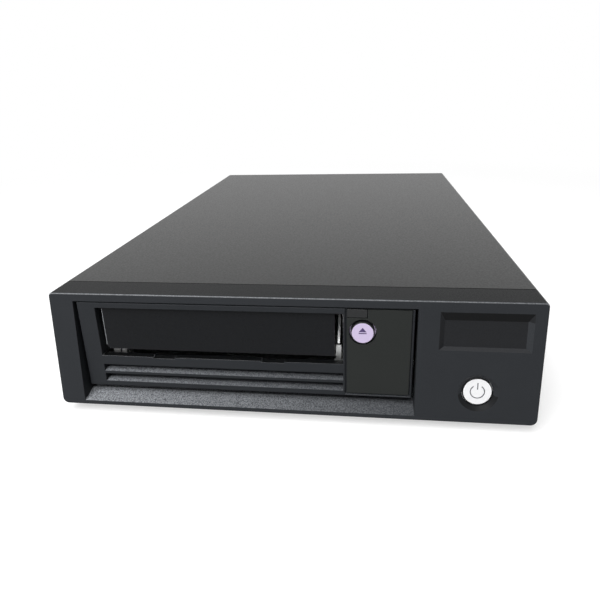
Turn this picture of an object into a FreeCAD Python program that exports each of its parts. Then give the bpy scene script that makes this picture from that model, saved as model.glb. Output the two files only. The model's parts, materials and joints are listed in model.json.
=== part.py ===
import FreeCAD, Part
import math
import os
import re
import Sketcher

# Desktop half-height tape drive: a sheet-metal enclosure with a moulded front, and the drive
# module inside it. Millimetres, +X right, +Y to the back, +Z up, origin under the middle.

sizes = {
    # enclosure
    "body_width": 213.0,
    "body_depth": 332.0,
    "body_height": 54.0,
    "foot_height": 4.7,
    "sheet": 1.2,
    "fit_gap": 0.3,
    "corner_low": 2.8,
    "corner_high": 1.8,
    # front moulding, which leans back by face_lean at its top
    "face_lean": 5.0,
    "bezel_depth": 19.9,
    "bezel_wall": 2.5,
    "bezel_skin": 3.0,
    "bezel_round": 0.8,
    "seam": 0.5,
    "tongue_length": 6.0,
    "tongue_thick": 1.5,
    "window_gap_left": 1.4,
    "window_gap_right": 1.1,
    "window_gap_top": 0.6,
    "window_low": 2.2,
    "shelf_rise": 2.1,
    "collar_wall": 2.0,
    "collar_depth": 9.0,
    # shallow recess at the upper right
    "recess_gap": 8.8,
    "recess_margin": 5.1,
    "recess_low": 32.8,
    "recess_high": 49.3,
    "recess_sink": 1.6,
    "recess_side_slope": 2.1,
    "recess_low_slope": 1.2,
    "recess_high_slope": 3.8,
    # power button, its dish and its switch
    "power_shift": 0.4,
    "power_z": 14.1,
    "power_dish": 16.6,
    "power_disc": 12.4,
    "power_sink": 1.5,
    "power_stem": 4.0,
    "power_travel": 1.6,
    "switch_board_y": 15.5,
    "switch_board_width": 23.0,
    "switch_board_height": 18.0,
    "switch_size": 6.0,
    "board_thick": 1.6,
    "boss_radius": 2.5,
    # tray, rear panel and cover
    "hem_width": 8.0,
    "tray_rim": 9.0,
    "panel_inset": 4.0,
    "panel_flange": 10.0,
    "foot_radius": 8.0,
    "foot_taper": 1.2,
    "foot_inset": 20.5,
    "foot_front_y": 36.0,
    "foot_back_inset": 32.0,
    "screw_radius": 1.5,
    "screw_head": 2.8,
    "screw_head_height": 1.7,
    "screw_play": 0.1,
    "hem_screw_y": 60.0,
    "hem_screw_step": 110.0,
    # fan
    "fan_inset": 44.5,
    "fan_z": 27.5,
    "fan_size": 40.0,
    "fan_depth": 20.0,
    "fan_bore": 38.0,
    "fan_hub": 22.0,
    "fan_pitch": 32.0,
    "fan_wall": 2.0,
    "blade_count": 7,
    "blade_root_pitch": 50.0,
    "blade_tip_pitch": 32.0,
    "blade_fill": 0.8,
    "blade_bow": 1.6,
    "blade_hollow": 0.6,
    "blade_gap": 0.7,
    "guard_wire": 0.7,
    "guard_rings": 4,
    # power inlet
    "inlet_inset": 30.5,
    "inlet_z": 26.0,
    "inlet_width": 27.0,
    "inlet_height": 19.8,
    "inlet_wall": 1.25,
    "inlet_depth": 20.0,
    "inlet_cavity": 15.5,
    "inlet_flange": 2.0,
    "inlet_flange_width": 50.0,
    "inlet_flange_height": 24.0,
    "inlet_screw_pitch": 40.0,
    "contact_side": 7.0,
    "contact_step": 2.0,
    "contact_wide": 2.0,
    "contact_tall": 4.0,
    # data ports and their board
    "port_inset": 88.5,
    "port_pitch": 32.0,
    "port_width": 26.0,
    "port_height": 11.0,
    "port_depth": 34.0,
    "port_wall": 0.8,
    "port_cavity": 23.8,
    "port_blade": 13.6,
    "port_blade_inset": 2.0,
    "port_z": 16.0,
    "port_board_depth": 60.0,
    # power supply
    "supply_margin": 6.5,
    "supply_gap": 9.0,
    "supply_gap_front": 18.0,
    "supply_gap_back": 6.0,
    "supply_height": 38.0,
    "supply_slits": 8,
    "board_lift": 4.0,
    "transformer_high": 22.0,
    "can_high": 26.0,
    "can_radius": 6.0,
    "sink_high": 24.0,
    "sink_thick": 4.0,
    # drive module, its own datum is the foot of its front face
    "drive_margin": 12.7,
    "drive_inset": 5.0,
    "drive_lift": 7.8,
    "face_lap": 1.2,
    "face_height": 42.0,
    "face_depth": 6.0,
    "face_round": 0.5,
    "slot_margin": 8.25,
    "slot_room": 5.1,
    "slot_low": 15.7,
    "slot_high": 39.5,
    "sill_depth": 3.4,
    "sill_relief": 2.0,
    "notch_width": 10.2,
    "notch_pitch": 50.1,
    "notch_dip": 0.6,
    "louvre_top_high": 11.2,
    "louvre_top_low": 7.7,
    "louvre_foot_high": 6.4,
    "louvre_foot_low": 2.5,
    "louvre_sink": 3.2,
    "louvre_rise": 0.7,
    "louvre_wall": 0.8,
    "louvre_slit": 0.8,
    # status panel
    "panel_step": 1.55,
    "panel_edge": 1.3,
    "panel_low": 1.55,
    "panel_top_edge": 0.4,
    "panel_groove": 0.9,
    "panel_margin": 0.4,
    "panel_thick": 1.2,
    "tab_width": 8.7,
    "tab_height": 4.0,
    "tab_gap": 0.3,
    # eject button
    "eject_inset": 6.6,
    "eject_z": 31.2,
    "eject_disc": 9.7,
    "eject_bore": 11.6,
    "eject_proud": 0.8,
    "eject_travel": 0.9,
    "eject_wall": 3.2,
    "front_board_y": 7.2,
    # cartridge door
    "door_short": 0.4,
    "door_thick": 1.2,
    "door_low": 18.6,
    "door_axis_y": 2.3,
    "door_drop": 0.75,
    "door_corner": 1.5,
    "pivot_radius": 0.5,
    "pivot_depth": 2.0,
    "pivot_play": 0.05,
    # drive chassis
    "loader_room": 40.6,
    "drive_length": 205.0,
    "drive_low": 0.6,
    "drive_high": 41.3,
    "cast_wall": 3.0,
    "floor_low": 4.0,
    "floor_high": 6.4,
    "plug_gap_width": 40.0,
    "plug_gap_height": 10.0,
    "plug_gap_sill": 2.0,
    "lid_thick": 1.0,
    "rib_length": 80.0,
    "rib_width": 6.0,
    "rib_y": 60.0,
    "rib_step": 50.0,
    # cartridge carriage on its ramps
    "cartridge_margin": 1.8,
    "cartridge_width": 105.4,
    "cartridge_depth": 102.0,
    "cartridge_thick": 21.5,
    "cartridge_y": 3.4,
    "carriage_sheet": 1.0,
    "carriage_play": 0.4,
    "floor_step": 0.6,
    "wall_short": 1.8,
    "stop_drop": 8.0,
    "wall_lean": 14.4,
    "carriage_gap": 0.6,
    "ledge_width": 15.0,
    "lip_reach": 2.0,
    "lip_drop": 2.4,
    "lip_inset": 1.05,
    "lip_wide": 3.3,
    "lip_gap": 0.8,
    "lip_narrow": 2.3,
    "edge_high": 5.2,
    "edge_turn": 0.5,
    "edge_reach": 0.75,
    "load_travel": 12.0,
    "load_drop": 3.5,
    "ramp_pin": 1.5,
    "ramp_pin_front_y": 32.0,
    "ramp_pin_back_y": 84.0,
    "ramp_pin_z": 26.0,
    "ramp_play": 0.05,
    "side_plate": 1.0,
    "side_gap": 0.8,
    "side_plate_front_y": 20.0,
    "side_plate_back_y": 108.0,
    "side_plate_high": 34.0,
    "side_foot": 4.0,
    # rack and gear that move the carriage
    "slider_sheet": 1.6,
    "slider_gap": 0.6,
    "tooth_module": 0.8,
    "gear_teeth": 18,
    "rack_teeth": 13,
    "tooth_play": 0.12,
    "pressure_angle": 20.0,
    "rack_land": 1.24,
    "gear_y": 52.0,
    "gear_low": 10.0,
    "gear_thick": 4.0,
    "gear_shaft": 2.0,
    "shaft_reach": 4.0,
    "gearbox_low": 15.0,
    "gearbox_height": 16.0,
    "gearbox_length": 22.0,
    "gearbox_width": 20.0,
    "motor_radius": 8.0,
    "motor_length": 25.0,
    "motor_boss": 2.0,
    "motor_leg": 4.0,
    # reels
    "spindle_motor_radius": 24.0,
    "takeup_motor_radius": 22.0,
    "motor_top": 12.0,
    "shaft_radius": 2.0,
    "shaft_play": 0.05,
    "rotor_gap": 0.4,
    "hub_radius": 15.0,
    "hub_height": 2.4,
    "hub_teeth": 18,
    "reel_gap": 1.0,
    "takeup_core": 20.0,
    "takeup_gap": 15.0,
    "leader_slot_width": 3.0,
    "leader_slot_depth": 5.0,
    "flange_thick": 1.0,
    # tape path
    "roller_setback": 4.2,
    "roller_radius": 4.0,
    "roller_height": 14.5,
    "roller_low": 12.6,
    "roller_inner_x": 24.0,
    "roller_outer_x": 46.0,
    "roller_pin": 1.5,
    "head_width": 30.0,
    "head_height": 20.0,
    "head_thick": 5.0,
    "head_gap": 3.6,
    "head_groove_x": 5.25,
    "head_groove": 1.0,
    "actuator_thick": 7.8,
    "head_low": 10.0,
    "head_travel": 3.0,
    # drive supports and electronics
    "bracket_length": 120.0,
    "bracket_y": 42.0,
    "bracket_height": 22.0,
    "bracket_foot": 7.0,
    "bracket_screw_z": 14.0,
    "bracket_screw_inset": 18.0,
    "board_margin": 8.0,
    "board_end": 15.0,
    "board_y": 22.0,
    "chip_side": 28.0,
    "driver_chip": 16.0,
    "chip_high": 1.2,
}

# Sizes and places that follow from the sizes above.
derived = {
    "drive_width": "cartridge_width + loader_room",
    "face_width": "drive_width + 2 * face_lap",
    "drive_x": "drive_margin + face_width / 2 - body_width / 2",
    "window_left": "window_gap_left + face_width / 2 - drive_x",
    "window_right": "window_gap_right + face_width / 2 + drive_x",
    "window_high": "drive_lift + face_height + window_gap_top",
    "recess_left": "window_right + recess_gap",
    "recess_right": "body_width / 2 - recess_margin",
    "power_x": "(window_right + body_width / 2) / 2 + power_shift",
    "foot_x": "body_width / 2 - foot_inset",
    "foot_back_y": "body_depth - foot_back_inset",
    "fan_x": "fan_inset - body_width / 2",
    "port_x": "port_inset - body_width / 2",
    "inlet_x": "body_width / 2 - inlet_inset",
    "supply_left": "port_x + port_pitch + port_width / 2 + supply_gap",
    "supply_right": "body_width / 2 - supply_margin",
    "supply_x": "(supply_left + supply_right) / 2",
    "supply_width": "supply_right - supply_left",
    "supply_y": "drive_inset + drive_length + supply_gap_front",
    "supply_length": "body_depth - panel_inset - inlet_depth - supply_gap_back - supply_y",
    "slot_width": "cartridge_width + slot_room",
    "slot_left": "slot_margin - face_width / 2",
    "slot_right": "slot_left + slot_width",
    "cartridge_x": "slot_left + cartridge_margin + cartridge_width / 2",
    "carriage_floor": "slot_low + floor_step",
    "carriage_wall_high": "carriage_floor + cartridge_thick - wall_short",
    "door_width": "cartridge_width - 2 * door_short",
    "door_axis_z": "slot_high - door_drop",
    "panel_left": "slot_right + panel_step",
    "panel_right": "face_width / 2 - panel_edge",
    "panel_high": "face_height - panel_top_edge",
    "eject_x": "panel_left + eject_inset",
    "head_y": "cartridge_y + cartridge_depth + load_travel + head_gap",
    "roller_y": "head_y + roller_setback",
    "reel_front_y": "head_y + head_thick + actuator_thick + 4 * fit_gap",
    "reel_back_y": "drive_length - cast_wall - reel_gap",
    "takeup_radius": "(reel_back_y - reel_front_y) / 2",
    "takeup_y": "(reel_back_y + reel_front_y) / 2",
    "board_width": "drive_width - 2 * board_margin",
    "board_length": "drive_length - board_y - board_end",
    "rack_reach": "rack_land + 1.25 * tooth_module",
}

doc = FreeCAD.newDocument("tape_drive")
dims = doc.addObject("Spreadsheet::Sheet", "dims")
for line, (name, size) in enumerate(sizes.items(), start=1):
    dims.set(f"A{line}", name)
    dims.set(f"B{line}", str(size))
    dims.setAlias(f"B{line}", name)
doc.recompute()

nodes = []
size_word = re.compile(r"[a-z_][a-z0-9_]*")

# Places shared by several pieces, as expressions.
tilt = "atan(face_lean / body_height)"
cover_front = "(bezel_depth + seam)"
tray_half = "(body_width / 2 - sheet - fit_gap)"
tray_top = "(2 * sheet)"
panel_back = "(body_depth - panel_inset)"
panel_front = "(body_depth - panel_inset - sheet)"
power_bore = "(power_disc + 2 * fit_gap)"
wall_high = "(drive_high - lid_thick)"
cage_front = "(face_depth + carriage_gap)"
cage_half = "(cartridge_width / 2 + carriage_play)"
cage_outer = "(cartridge_width / 2 + carriage_play + carriage_sheet)"
front_board_low = "(floor_high + cast_wall / 2 + fit_gap)"
plate_inner = "(cartridge_width / 2 + carriage_play + carriage_sheet + side_gap)"
plate_outer = "(cartridge_width / 2 + carriage_play + carriage_sheet + side_gap + side_plate)"
slider_inner = f"({plate_outer} + slider_gap)"
slider_outer = f"({slider_inner} + slider_sheet)"
pitch_line = f"(cartridge_x + {slider_outer} + rack_reach)"
gear_x = f"({pitch_line} + tooth_module * gear_teeth / 2)"
spindle_y = "(cartridge_y + cartridge_depth / 2 + load_travel)"


def bound(text):
    """The expression with every size name pointed at its cell."""
    def spelled(word):
        if word[0] in derived:
            return f"({bound(derived[word[0]])})"
        return f"dims.{word[0]}" if word[0] in sizes else word[0]
    return size_word.sub(spelled, str(text))


def value(text):
    """The expression's value now, in millimetres or degrees."""
    result = doc.Objects[-1].evalExpression(bound(text))
    return float(getattr(result, "Value", result))


def new_body(name):
    body = doc.addObject("PartDesign::Body", name)
    body.Label = name
    nodes.append(body)
    return body


def place(piece, x="0", y="0", z="0"):
    piece.setExpression("Placement.Base.x", bound(x))
    piece.setExpression("Placement.Base.y", bound(y))
    piece.setExpression("Placement.Base.z", bound(z))


def place_in_enclosure(piece, x="0", y="0", z="0"):
    place(piece, x, f"{y} - body_depth / 2", f"{z} + foot_height")


def place_in_drive(piece, x="0", y="0", z="0"):
    place_in_enclosure(piece, f"{x} + drive_x", f"{y} + drive_inset", f"{z} + drive_lift")


def polygon(*corners):
    return ("polygon", corners)


def rectangle(x0, y0, x1, y1):
    return polygon((x0, y0), (x1, y0), (x1, y1), (x0, y1))


def circle(x, y, radius):
    return ("circle", x, y, radius)


def ramp_slot(x0, y0, x1, y1, radius):
    return ("slot", x0, y0, x1, y1, radius)


def pin_point(sketch, kind_of, point, x, y):
    """Ties one point of the sketch to its two coordinates."""
    for kind, text in (("DistanceX", x), ("DistanceY", y)):
        index = sketch.addConstraint(Sketcher.Constraint(kind, -1, 1, kind_of, point, value(text)))
        sketch.setExpression(f"Constraints[{index}]", bound(text))


def draw_polygon(sketch, corners):
    points = [FreeCAD.Vector(value(x), value(y), 0) for x, y in corners]
    ends = points[1:] + points[:1]
    lines = [sketch.addGeometry(Part.LineSegment(a, b)) for a, b in zip(points, ends)]
    for line, following in zip(lines, lines[1:] + lines[:1]):
        sketch.addConstraint(Sketcher.Constraint("Coincident", line, 2, following, 1))
    for line, (x, y) in zip(lines, corners):
        pin_point(sketch, line, 1, x, y)


def draw_circle(sketch, x, y, radius):
    centre = FreeCAD.Vector(value(x), value(y), 0)
    ring = sketch.addGeometry(Part.Circle(centre, FreeCAD.Vector(0, 0, 1), value(radius)))
    pin_point(sketch, ring, 3, x, y)
    index = sketch.addConstraint(Sketcher.Constraint("Radius", ring, value(radius)))
    sketch.setExpression(f"Constraints[{index}]", bound(radius))


def draw_slot(sketch, x0, y0, x1, y1, radius):
    turn = math.atan2(value(y1) - value(y0), value(x1) - value(x0))
    normal = FreeCAD.Vector(0, 0, 1)
    ends = ((x0, y0, turn + math.pi / 2), (x1, y1, turn - math.pi / 2))
    arcs = []
    for x, y, start in ends:
        centre = FreeCAD.Vector(value(x), value(y), 0)
        ring = Part.Circle(centre, normal, value(radius))
        arcs.append(sketch.addGeometry(Part.ArcOfCircle(ring, start, start + math.pi)))
        pin_point(sketch, arcs[-1], 3, x, y)
    for first, second in (arcs, arcs[::-1]):
        a = sketch.getPoint(first, 2)
        b = sketch.getPoint(second, 1)
        side = sketch.addGeometry(Part.LineSegment(a, b))
        sketch.addConstraint(Sketcher.Constraint("Tangent", first, 2, side, 1))
        sketch.addConstraint(Sketcher.Constraint("Tangent", side, 2, second, 1))
    index = sketch.addConstraint(Sketcher.Constraint("Radius", arcs[0], value(radius)))
    sketch.setExpression(f"Constraints[{index}]", bound(radius))


drawers = {"polygon": draw_polygon, "circle": draw_circle, "slot": draw_slot}


def new_sketch(body, plane, offset, loops, leaning=False):
    """A sketch on one of the body's origin planes, moved along that plane's normal."""
    sketch = body.newObject("Sketcher::SketchObject", f"{body.Name}_sketch")
    role = f"{plane}_Plane"
    home = next(part for part in body.Origin.OriginFeatures if part.Role == role)
    sketch.AttachmentSupport = [(home, "")]
    sketch.MapMode = "FlatFace"
    if leaning:
        sketch.AttachmentOffset = FreeCAD.Placement(
            FreeCAD.Vector(), FreeCAD.Rotation(FreeCAD.Vector(1, 0, 0), 1))
        sketch.setExpression("AttachmentOffset.Rotation.Angle", bound(f"-{tilt}"))
        sketch.setExpression("AttachmentOffset.Base.y", bound(f"-({offset}) * sin({tilt})"))
        sketch.setExpression("AttachmentOffset.Base.z", bound(f"-({offset}) * cos({tilt})"))
    else:
        sketch.setExpression("AttachmentOffset.Base.z", bound(offset))
    for shape, *numbers in loops:
        drawers[shape](sketch, *numbers)
    return sketch


def prism(body, kind, plane, start, end, loops):
    """Material from start to end along the plane's world axis, added or cut away."""
    adds = kind == "PartDesign::Pad"
    if plane == "XZ":
        offset = f"-({end})" if adds else f"-({start})"
    else:
        offset = start if adds else end
    feature_sketch = new_sketch(body, plane, offset, loops)
    feature = body.newObject(kind, f"{body.Name}_{'pad' if adds else 'cut'}")
    feature.Profile = feature_sketch
    feature.setExpression("Length", bound(f"({end}) - ({start})"))
    return feature


def add(body, plane, start, end, *loops):
    return prism(body, "PartDesign::Pad", plane, start, end, loops)


def cut(body, plane, start, end, *loops):
    return prism(body, "PartDesign::Pocket", plane, start, end, loops)


def turned(body, *profiles, axis="Z"):
    """Round material: each profile is (radius, distance along the axis) pairs."""
    plane = {"Z": "XZ", "Y": "XY"}[axis]
    feature_sketch = new_sketch(body, plane, "0", [polygon(*profile) for profile in profiles])
    feature = body.newObject("PartDesign::Revolution", f"{body.Name}_turn")
    feature.Profile = feature_sketch
    feature.ReferenceAxis = (feature_sketch, ["V_Axis"])
    feature.Angle = 360
    return feature


def round_edges(body, radius, chosen, kind="PartDesign::Fillet"):
    """A fillet or chamfer on the edges of the body so far that the test picks."""
    doc.recompute()
    base = body.Tip
    names = [f"Edge{n}" for n, edge in enumerate(base.Shape.Edges, start=1) if chosen(edge)]
    feature = body.newObject(kind, f"{body.Name}_round")
    feature.Base = (base, names)
    feature.setExpression("Size" if kind.endswith("Chamfer") else "Radius", bound(radius))
    return feature


def along(edge, axis):
    direction = edge.Vertexes[-1].Point - edge.Vertexes[0].Point
    if direction.Length < 1e-6:
        return False
    direction.normalize()
    return abs(getattr(direction, axis)) > 0.99


def at(edge, axis, text):
    return abs(getattr(edge.CenterOfMass, axis) - value(text)) < 0.02


def plain_solid(name, shape):
    """A piece whose form no sketch feature fits, made from a shape worked out in code."""
    piece = doc.addObject("Part::Feature", name)
    piece.Label = name
    piece.Shape = shape
    nodes.append(piece)
    return piece


def on_face(z):
    """A height on the leaning face, measured up along the face."""
    return f"(({z}) / cos({tilt}))"



def front_bezel():
    body = new_body("front_bezel")
    place_in_enclosure(body)
    outline = polygon(("0", "0"), ("bezel_depth", "0"), ("bezel_depth", "body_height"),
                      ("face_lean", "body_height"))
    add(body, "YZ", "-body_width / 2", "body_width / 2", outline)
    round_edges(body, "corner_low", lambda e: along(e, "y") and at(e, "z", "0"))
    round_edges(body, "corner_high", lambda e: along(e, "y") and at(e, "z", "body_height"))
    front = lambda e: e.BoundBox.YMax < value("face_lean") + 0.01
    round_edges(body, "bezel_round", front)

    inner = "(body_width / 2 - bezel_wall)"
    low, high = "bezel_wall", "(body_height - bezel_wall)"
    behind = "(bezel_depth + 1)"
    cut(body, "YZ", f"-{inner}", inner, rectangle("collar_depth", low, behind, high))
    pocket = polygon(
        (f"bezel_skin + face_lean * {low} / body_height", low), (behind, low), (behind, high),
        (f"bezel_skin + face_lean * {high} / body_height", high))
    cut(body, "YZ", "window_right + collar_wall", inner, pocket)
    cut(body, "YZ", f"-{inner}", "-(window_left + collar_wall)", pocket)

    # The window, whose foot is a shelf that slopes up under the drive.
    lip, shelf_top = "(face_lean * window_low / body_height)", "(window_low + shelf_rise)"
    cut(body, "YZ", "-window_left", "window_right", polygon(
        ("-1", "window_low"), (lip, "window_low"), ("collar_depth", shelf_top),
        (behind, shelf_top), (behind, "window_high"), ("-1", "window_high")))

    # The tongue that the cover slides over and the tray carries.
    tongue_top = "(body_height - sheet - fit_gap)"
    add(body, "XZ", "bezel_depth - tongue_length", "bezel_depth + tongue_length",
        rectangle(f"-{tray_half}", tray_top, tray_half, tongue_top),
        rectangle(f"-({tray_half} - tongue_thick)", f"{tray_top} + tongue_thick",
                  f"{tray_half} - tongue_thick", f"{tongue_top} - tongue_thick"))

    # The bare recess with its sloping walls.
    mouth = new_sketch(body, "XZ", "0", [rectangle(
        "recess_left", on_face("recess_low"), "recess_right", on_face("recess_high"))], leaning=True)
    floor = new_sketch(body, "XZ", "recess_sink", [rectangle(
        "recess_left + recess_side_slope", on_face("recess_low + recess_low_slope"),
        "recess_right - recess_side_slope", on_face("recess_high - recess_high_slope"))],
        leaning=True)
    recess = body.newObject("PartDesign::SubtractiveLoft", "bezel_recess")
    recess.Profile = mouth
    recess.Sections = [floor]
    recess.Ruled = True

    # The dish round the power button, and the bore that guides it.
    spot = ("power_x", on_face("power_z"))
    dish = body.newObject("PartDesign::Pocket", "bezel_dish")
    dish.Profile = new_sketch(body, "XZ", "0", [circle(*spot, "power_dish / 2")], leaning=True)
    dish.setExpression("Length", bound("power_sink"))
    dish.setExpression("TaperAngle", bound(f"-atan((power_dish - {power_bore}) / 2 / power_sink)"))
    bore = body.newObject("PartDesign::Pocket", "bezel_bore")
    bore.Profile = new_sketch(body, "XZ", "0", [circle(*spot, f"{power_bore} / 2")], leaning=True)
    bore.setExpression("Length", bound("2 * bezel_skin"))

    # Bosses that carry the switch board.
    side, rise = "(switch_board_width / 2 - boss_radius)", "(switch_board_height / 2 - boss_radius)"
    add(body, "XZ", "bezel_skin", "switch_board_y",
        circle(f"power_x - {side}", f"power_z + {rise}", "boss_radius"),
        circle(f"power_x + {side}", f"power_z - {rise}", "boss_radius"))


def power_button():
    body = new_body("power_button")
    lip = "power_disc / 2 - bezel_round / 2"
    back = "-(bezel_skin + fit_gap)"
    flange = "(power_disc / 2 + 4 * fit_gap)"
    # Pressed home, the stem stops two gaps short of the switch's plunger.
    stem_end = ("-(switch_board_y - switch_size / 2 - sheet / 2 - power_travel - 2 * fit_gap"
                " - face_lean * power_z / body_height)")
    turned(body, [
        ("0", "-power_sink"), (lip, "-power_sink"), ("power_disc / 2", "-power_sink - bezel_round / 2"),
        ("power_disc / 2", back), (flange, back), (flange, f"{back} - sheet"),
        ("power_stem / 2", f"{back} - sheet"), ("power_stem / 2", stem_end), ("0", stem_end)])
    body.Placement = FreeCAD.Placement(
        FreeCAD.Vector(), FreeCAD.Rotation(FreeCAD.Vector(1, 0, 0), 1))
    body.setExpression("Placement.Rotation.Angle", bound(f"90 deg - {tilt}"))
    place_in_enclosure(body, "power_x", "face_lean * power_z / body_height", "power_z")


def switch_board():
    body = new_body("switch_board")
    place_in_enclosure(body, "power_x", "switch_board_y", "power_z")
    add(body, "XZ", "0", "board_thick", rectangle(
        "-switch_board_width / 2", "-switch_board_height / 2",
        "switch_board_width / 2", "switch_board_height / 2"))


def power_switch():
    body = new_body("power_switch")
    place_in_enclosure(body, "power_x", "switch_board_y", "power_z")
    half = "switch_size / 2"
    add(body, "XZ", "-switch_size / 2", "0", rectangle(f"-{half}", f"-{half}", half, half))
    add(body, "XZ", "-switch_size / 2 - sheet / 2", "0", circle("0", "0", "switch_size / 4"))


def top_cover():
    body = new_body("top_cover")
    place_in_enclosure(body)
    half = "(body_width / 2)"
    wall, hem = f"({half} - sheet)", f"({half} - hem_width)"
    side = [(wall, "body_height - sheet"), (wall, "sheet"), (hem, "sheet"),
            (hem, "0"), (half, "0"), (half, "body_height")]
    other_side = [(f"-{x}", z) for x, z in reversed(side)]
    add(body, "XZ", cover_front, "body_depth", polygon(*side, *other_side))
    round_edges(body, "corner_high", lambda e: along(e, "y") and abs(
        abs(e.CenterOfMass.x) - value(half)) < 0.01)
    holes = []
    for step in range(3):
        for sign in "+-":
            y = f"(hem_screw_y + {step} * hem_screw_step)"
            holes.append(circle(f"{sign}({half} - hem_width / 2)", y, "screw_radius + screw_play"))
    cut(body, "XY", "-1", "sheet + 1", *holes)


def bottom_tray():
    body = new_body("bottom_tray")
    place_in_enclosure(body)
    add(body, "XY", "sheet", tray_top, rectangle(f"-{tray_half}", cover_front, tray_half, panel_back))
    rim_front = f"({cover_front} + tongue_length + fit_gap)"
    for sign in (-1, 1):
        sides = sorted((f"{sign} * {tray_half}", f"{sign} * ({tray_half} - sheet)"), key=value)
        add(body, "XY", "sheet", "tray_rim", rectangle(sides[0], rim_front, sides[1], panel_front))
    holes = []
    for step in range(3):
        for sign in "+-":
            y = f"(hem_screw_y + {step} * hem_screw_step)"
            holes.append(circle(f"{sign}(body_width / 2 - hem_width / 2)", y,
                                "screw_radius + screw_play"))
    cut(body, "XY", "0", "tray_rim", *holes)


def rear_panel():
    body = new_body("rear_panel")
    place_in_enclosure(body)
    top = "(body_height - sheet - fit_gap)"
    side = f"({tray_half} - fit_gap)"
    add(body, "XZ", panel_front, panel_back, rectangle(f"-{side}", tray_top, side, top))
    add(body, "XZ", f"{panel_front} - panel_flange", panel_front,
        rectangle(f"-{side}", f"{top} - sheet", side, top))
    corner = "fan_pitch / 2"
    holes = [circle("fan_x", "fan_z", "fan_bore / 2")]
    for x_sign in "+-":
        for z_sign in "+-":
            holes.append(circle(f"fan_x {x_sign} {corner}", f"fan_z {z_sign} {corner}",
                                "screw_radius + screw_play"))
    for n in range(2):
        x = f"(port_x + {n} * port_pitch)"
        holes.append(rectangle(f"{x} - port_width / 2 - fit_gap", "port_z - fit_gap",
                               f"{x} + port_width / 2 + fit_gap", "port_z + port_height + fit_gap"))
    holes.append(rectangle("inlet_x - inlet_width / 2 - fit_gap", "inlet_z - inlet_height / 2 - fit_gap",
                           "inlet_x + inlet_width / 2 + fit_gap", "inlet_z + inlet_height / 2 + fit_gap"))
    for sign in "+-":
        holes.append(circle(f"inlet_x {sign} inlet_screw_pitch / 2", "inlet_z",
                            "screw_radius + screw_play"))
    cut(body, "XZ", f"{panel_front} - 1", f"{panel_back} + 1", *holes)


def screws(name, spots, points_to):
    """Pan-head screws as one piece; points_to is the way the tips point."""
    head = Part.makeCylinder(value("screw_head"), value("screw_head_height"))
    head = head.makeChamfer(value("screw_head_height") * 0.3, [head.Edges[0]])
    shank = Part.makeCylinder(value("screw_radius"), 3 * value("sheet"), FreeCAD.Vector(),
                              FreeCAD.Vector(0, 0, -1))
    one = head.fuse(shank).removeSplitter()
    turn = FreeCAD.Rotation(FreeCAD.Vector(0, 0, -1), FreeCAD.Vector(*points_to))
    copies = []
    for spot in spots:
        copy = one.copy()
        copy.Placement = FreeCAD.Placement(FreeCAD.Vector(*[value(text) for text in spot]), turn)
        copies.append(copy)
    return plain_solid(name, Part.makeCompound(copies))


def cover_screws():
    spots = [(f"{sign}(body_width / 2 - hem_width / 2)", f"hem_screw_y + {step} * hem_screw_step", "0")
             for step in range(3) for sign in "+-"]
    place_in_enclosure(screws("cover_screws", spots, (0, 0, 1)))


def rubber_feet():
    body = new_body("rubber_feet")
    place_in_enclosure(body)
    spots = [(f"{sign}foot_x", y) for sign in "+-" for y in ("foot_front_y", "foot_back_y")]
    feature = add(body, "XY", "-foot_height", "sheet",
                  *[circle(x, y, "foot_radius - foot_taper") for x, y in spots])
    feature.setExpression("TaperAngle", bound("atan(foot_taper / (foot_height + sheet))"))


def fan_frame():
    body = new_body("fan_frame")
    place_in_enclosure(body, "fan_x", panel_front, "fan_z")
    half, corner = "(fan_size / 2)", "fan_pitch / 2"
    add(body, "XZ", "-fan_depth", "0", rectangle(f"-{half}", f"-{half}", half, half))
    round_edges(body, "fan_wall", lambda e: along(e, "y"))
    holes = [circle(f"{a}{corner}", f"{b}{corner}", "screw_radius + screw_play")
             for a in "+-" for b in "+-"]
    cut(body, "XZ", "-fan_depth - 1", "1", circle("0", "0", "fan_bore / 2"), *holes)
    # Motor seat on four struts at the inner face.
    strut, reach = "fan_wall / 2", "(fan_bore / 2 + fan_wall / 4)"
    inner_face = "-fan_depth + fan_wall"
    add(body, "XZ", "-fan_depth", inner_face, rectangle(f"-{reach}", f"-{strut}", reach, strut))
    add(body, "XZ", "-fan_depth", inner_face, rectangle(f"-{strut}", f"-{reach}", strut, reach))
    add(body, "XZ", "-fan_depth", inner_face, circle("0", "0", "fan_hub / 2"))
    cut(body, "XZ", "-fan_depth + fan_wall / 2", inner_face,
        circle("0", "0", "shaft_radius + shaft_play"))


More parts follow.
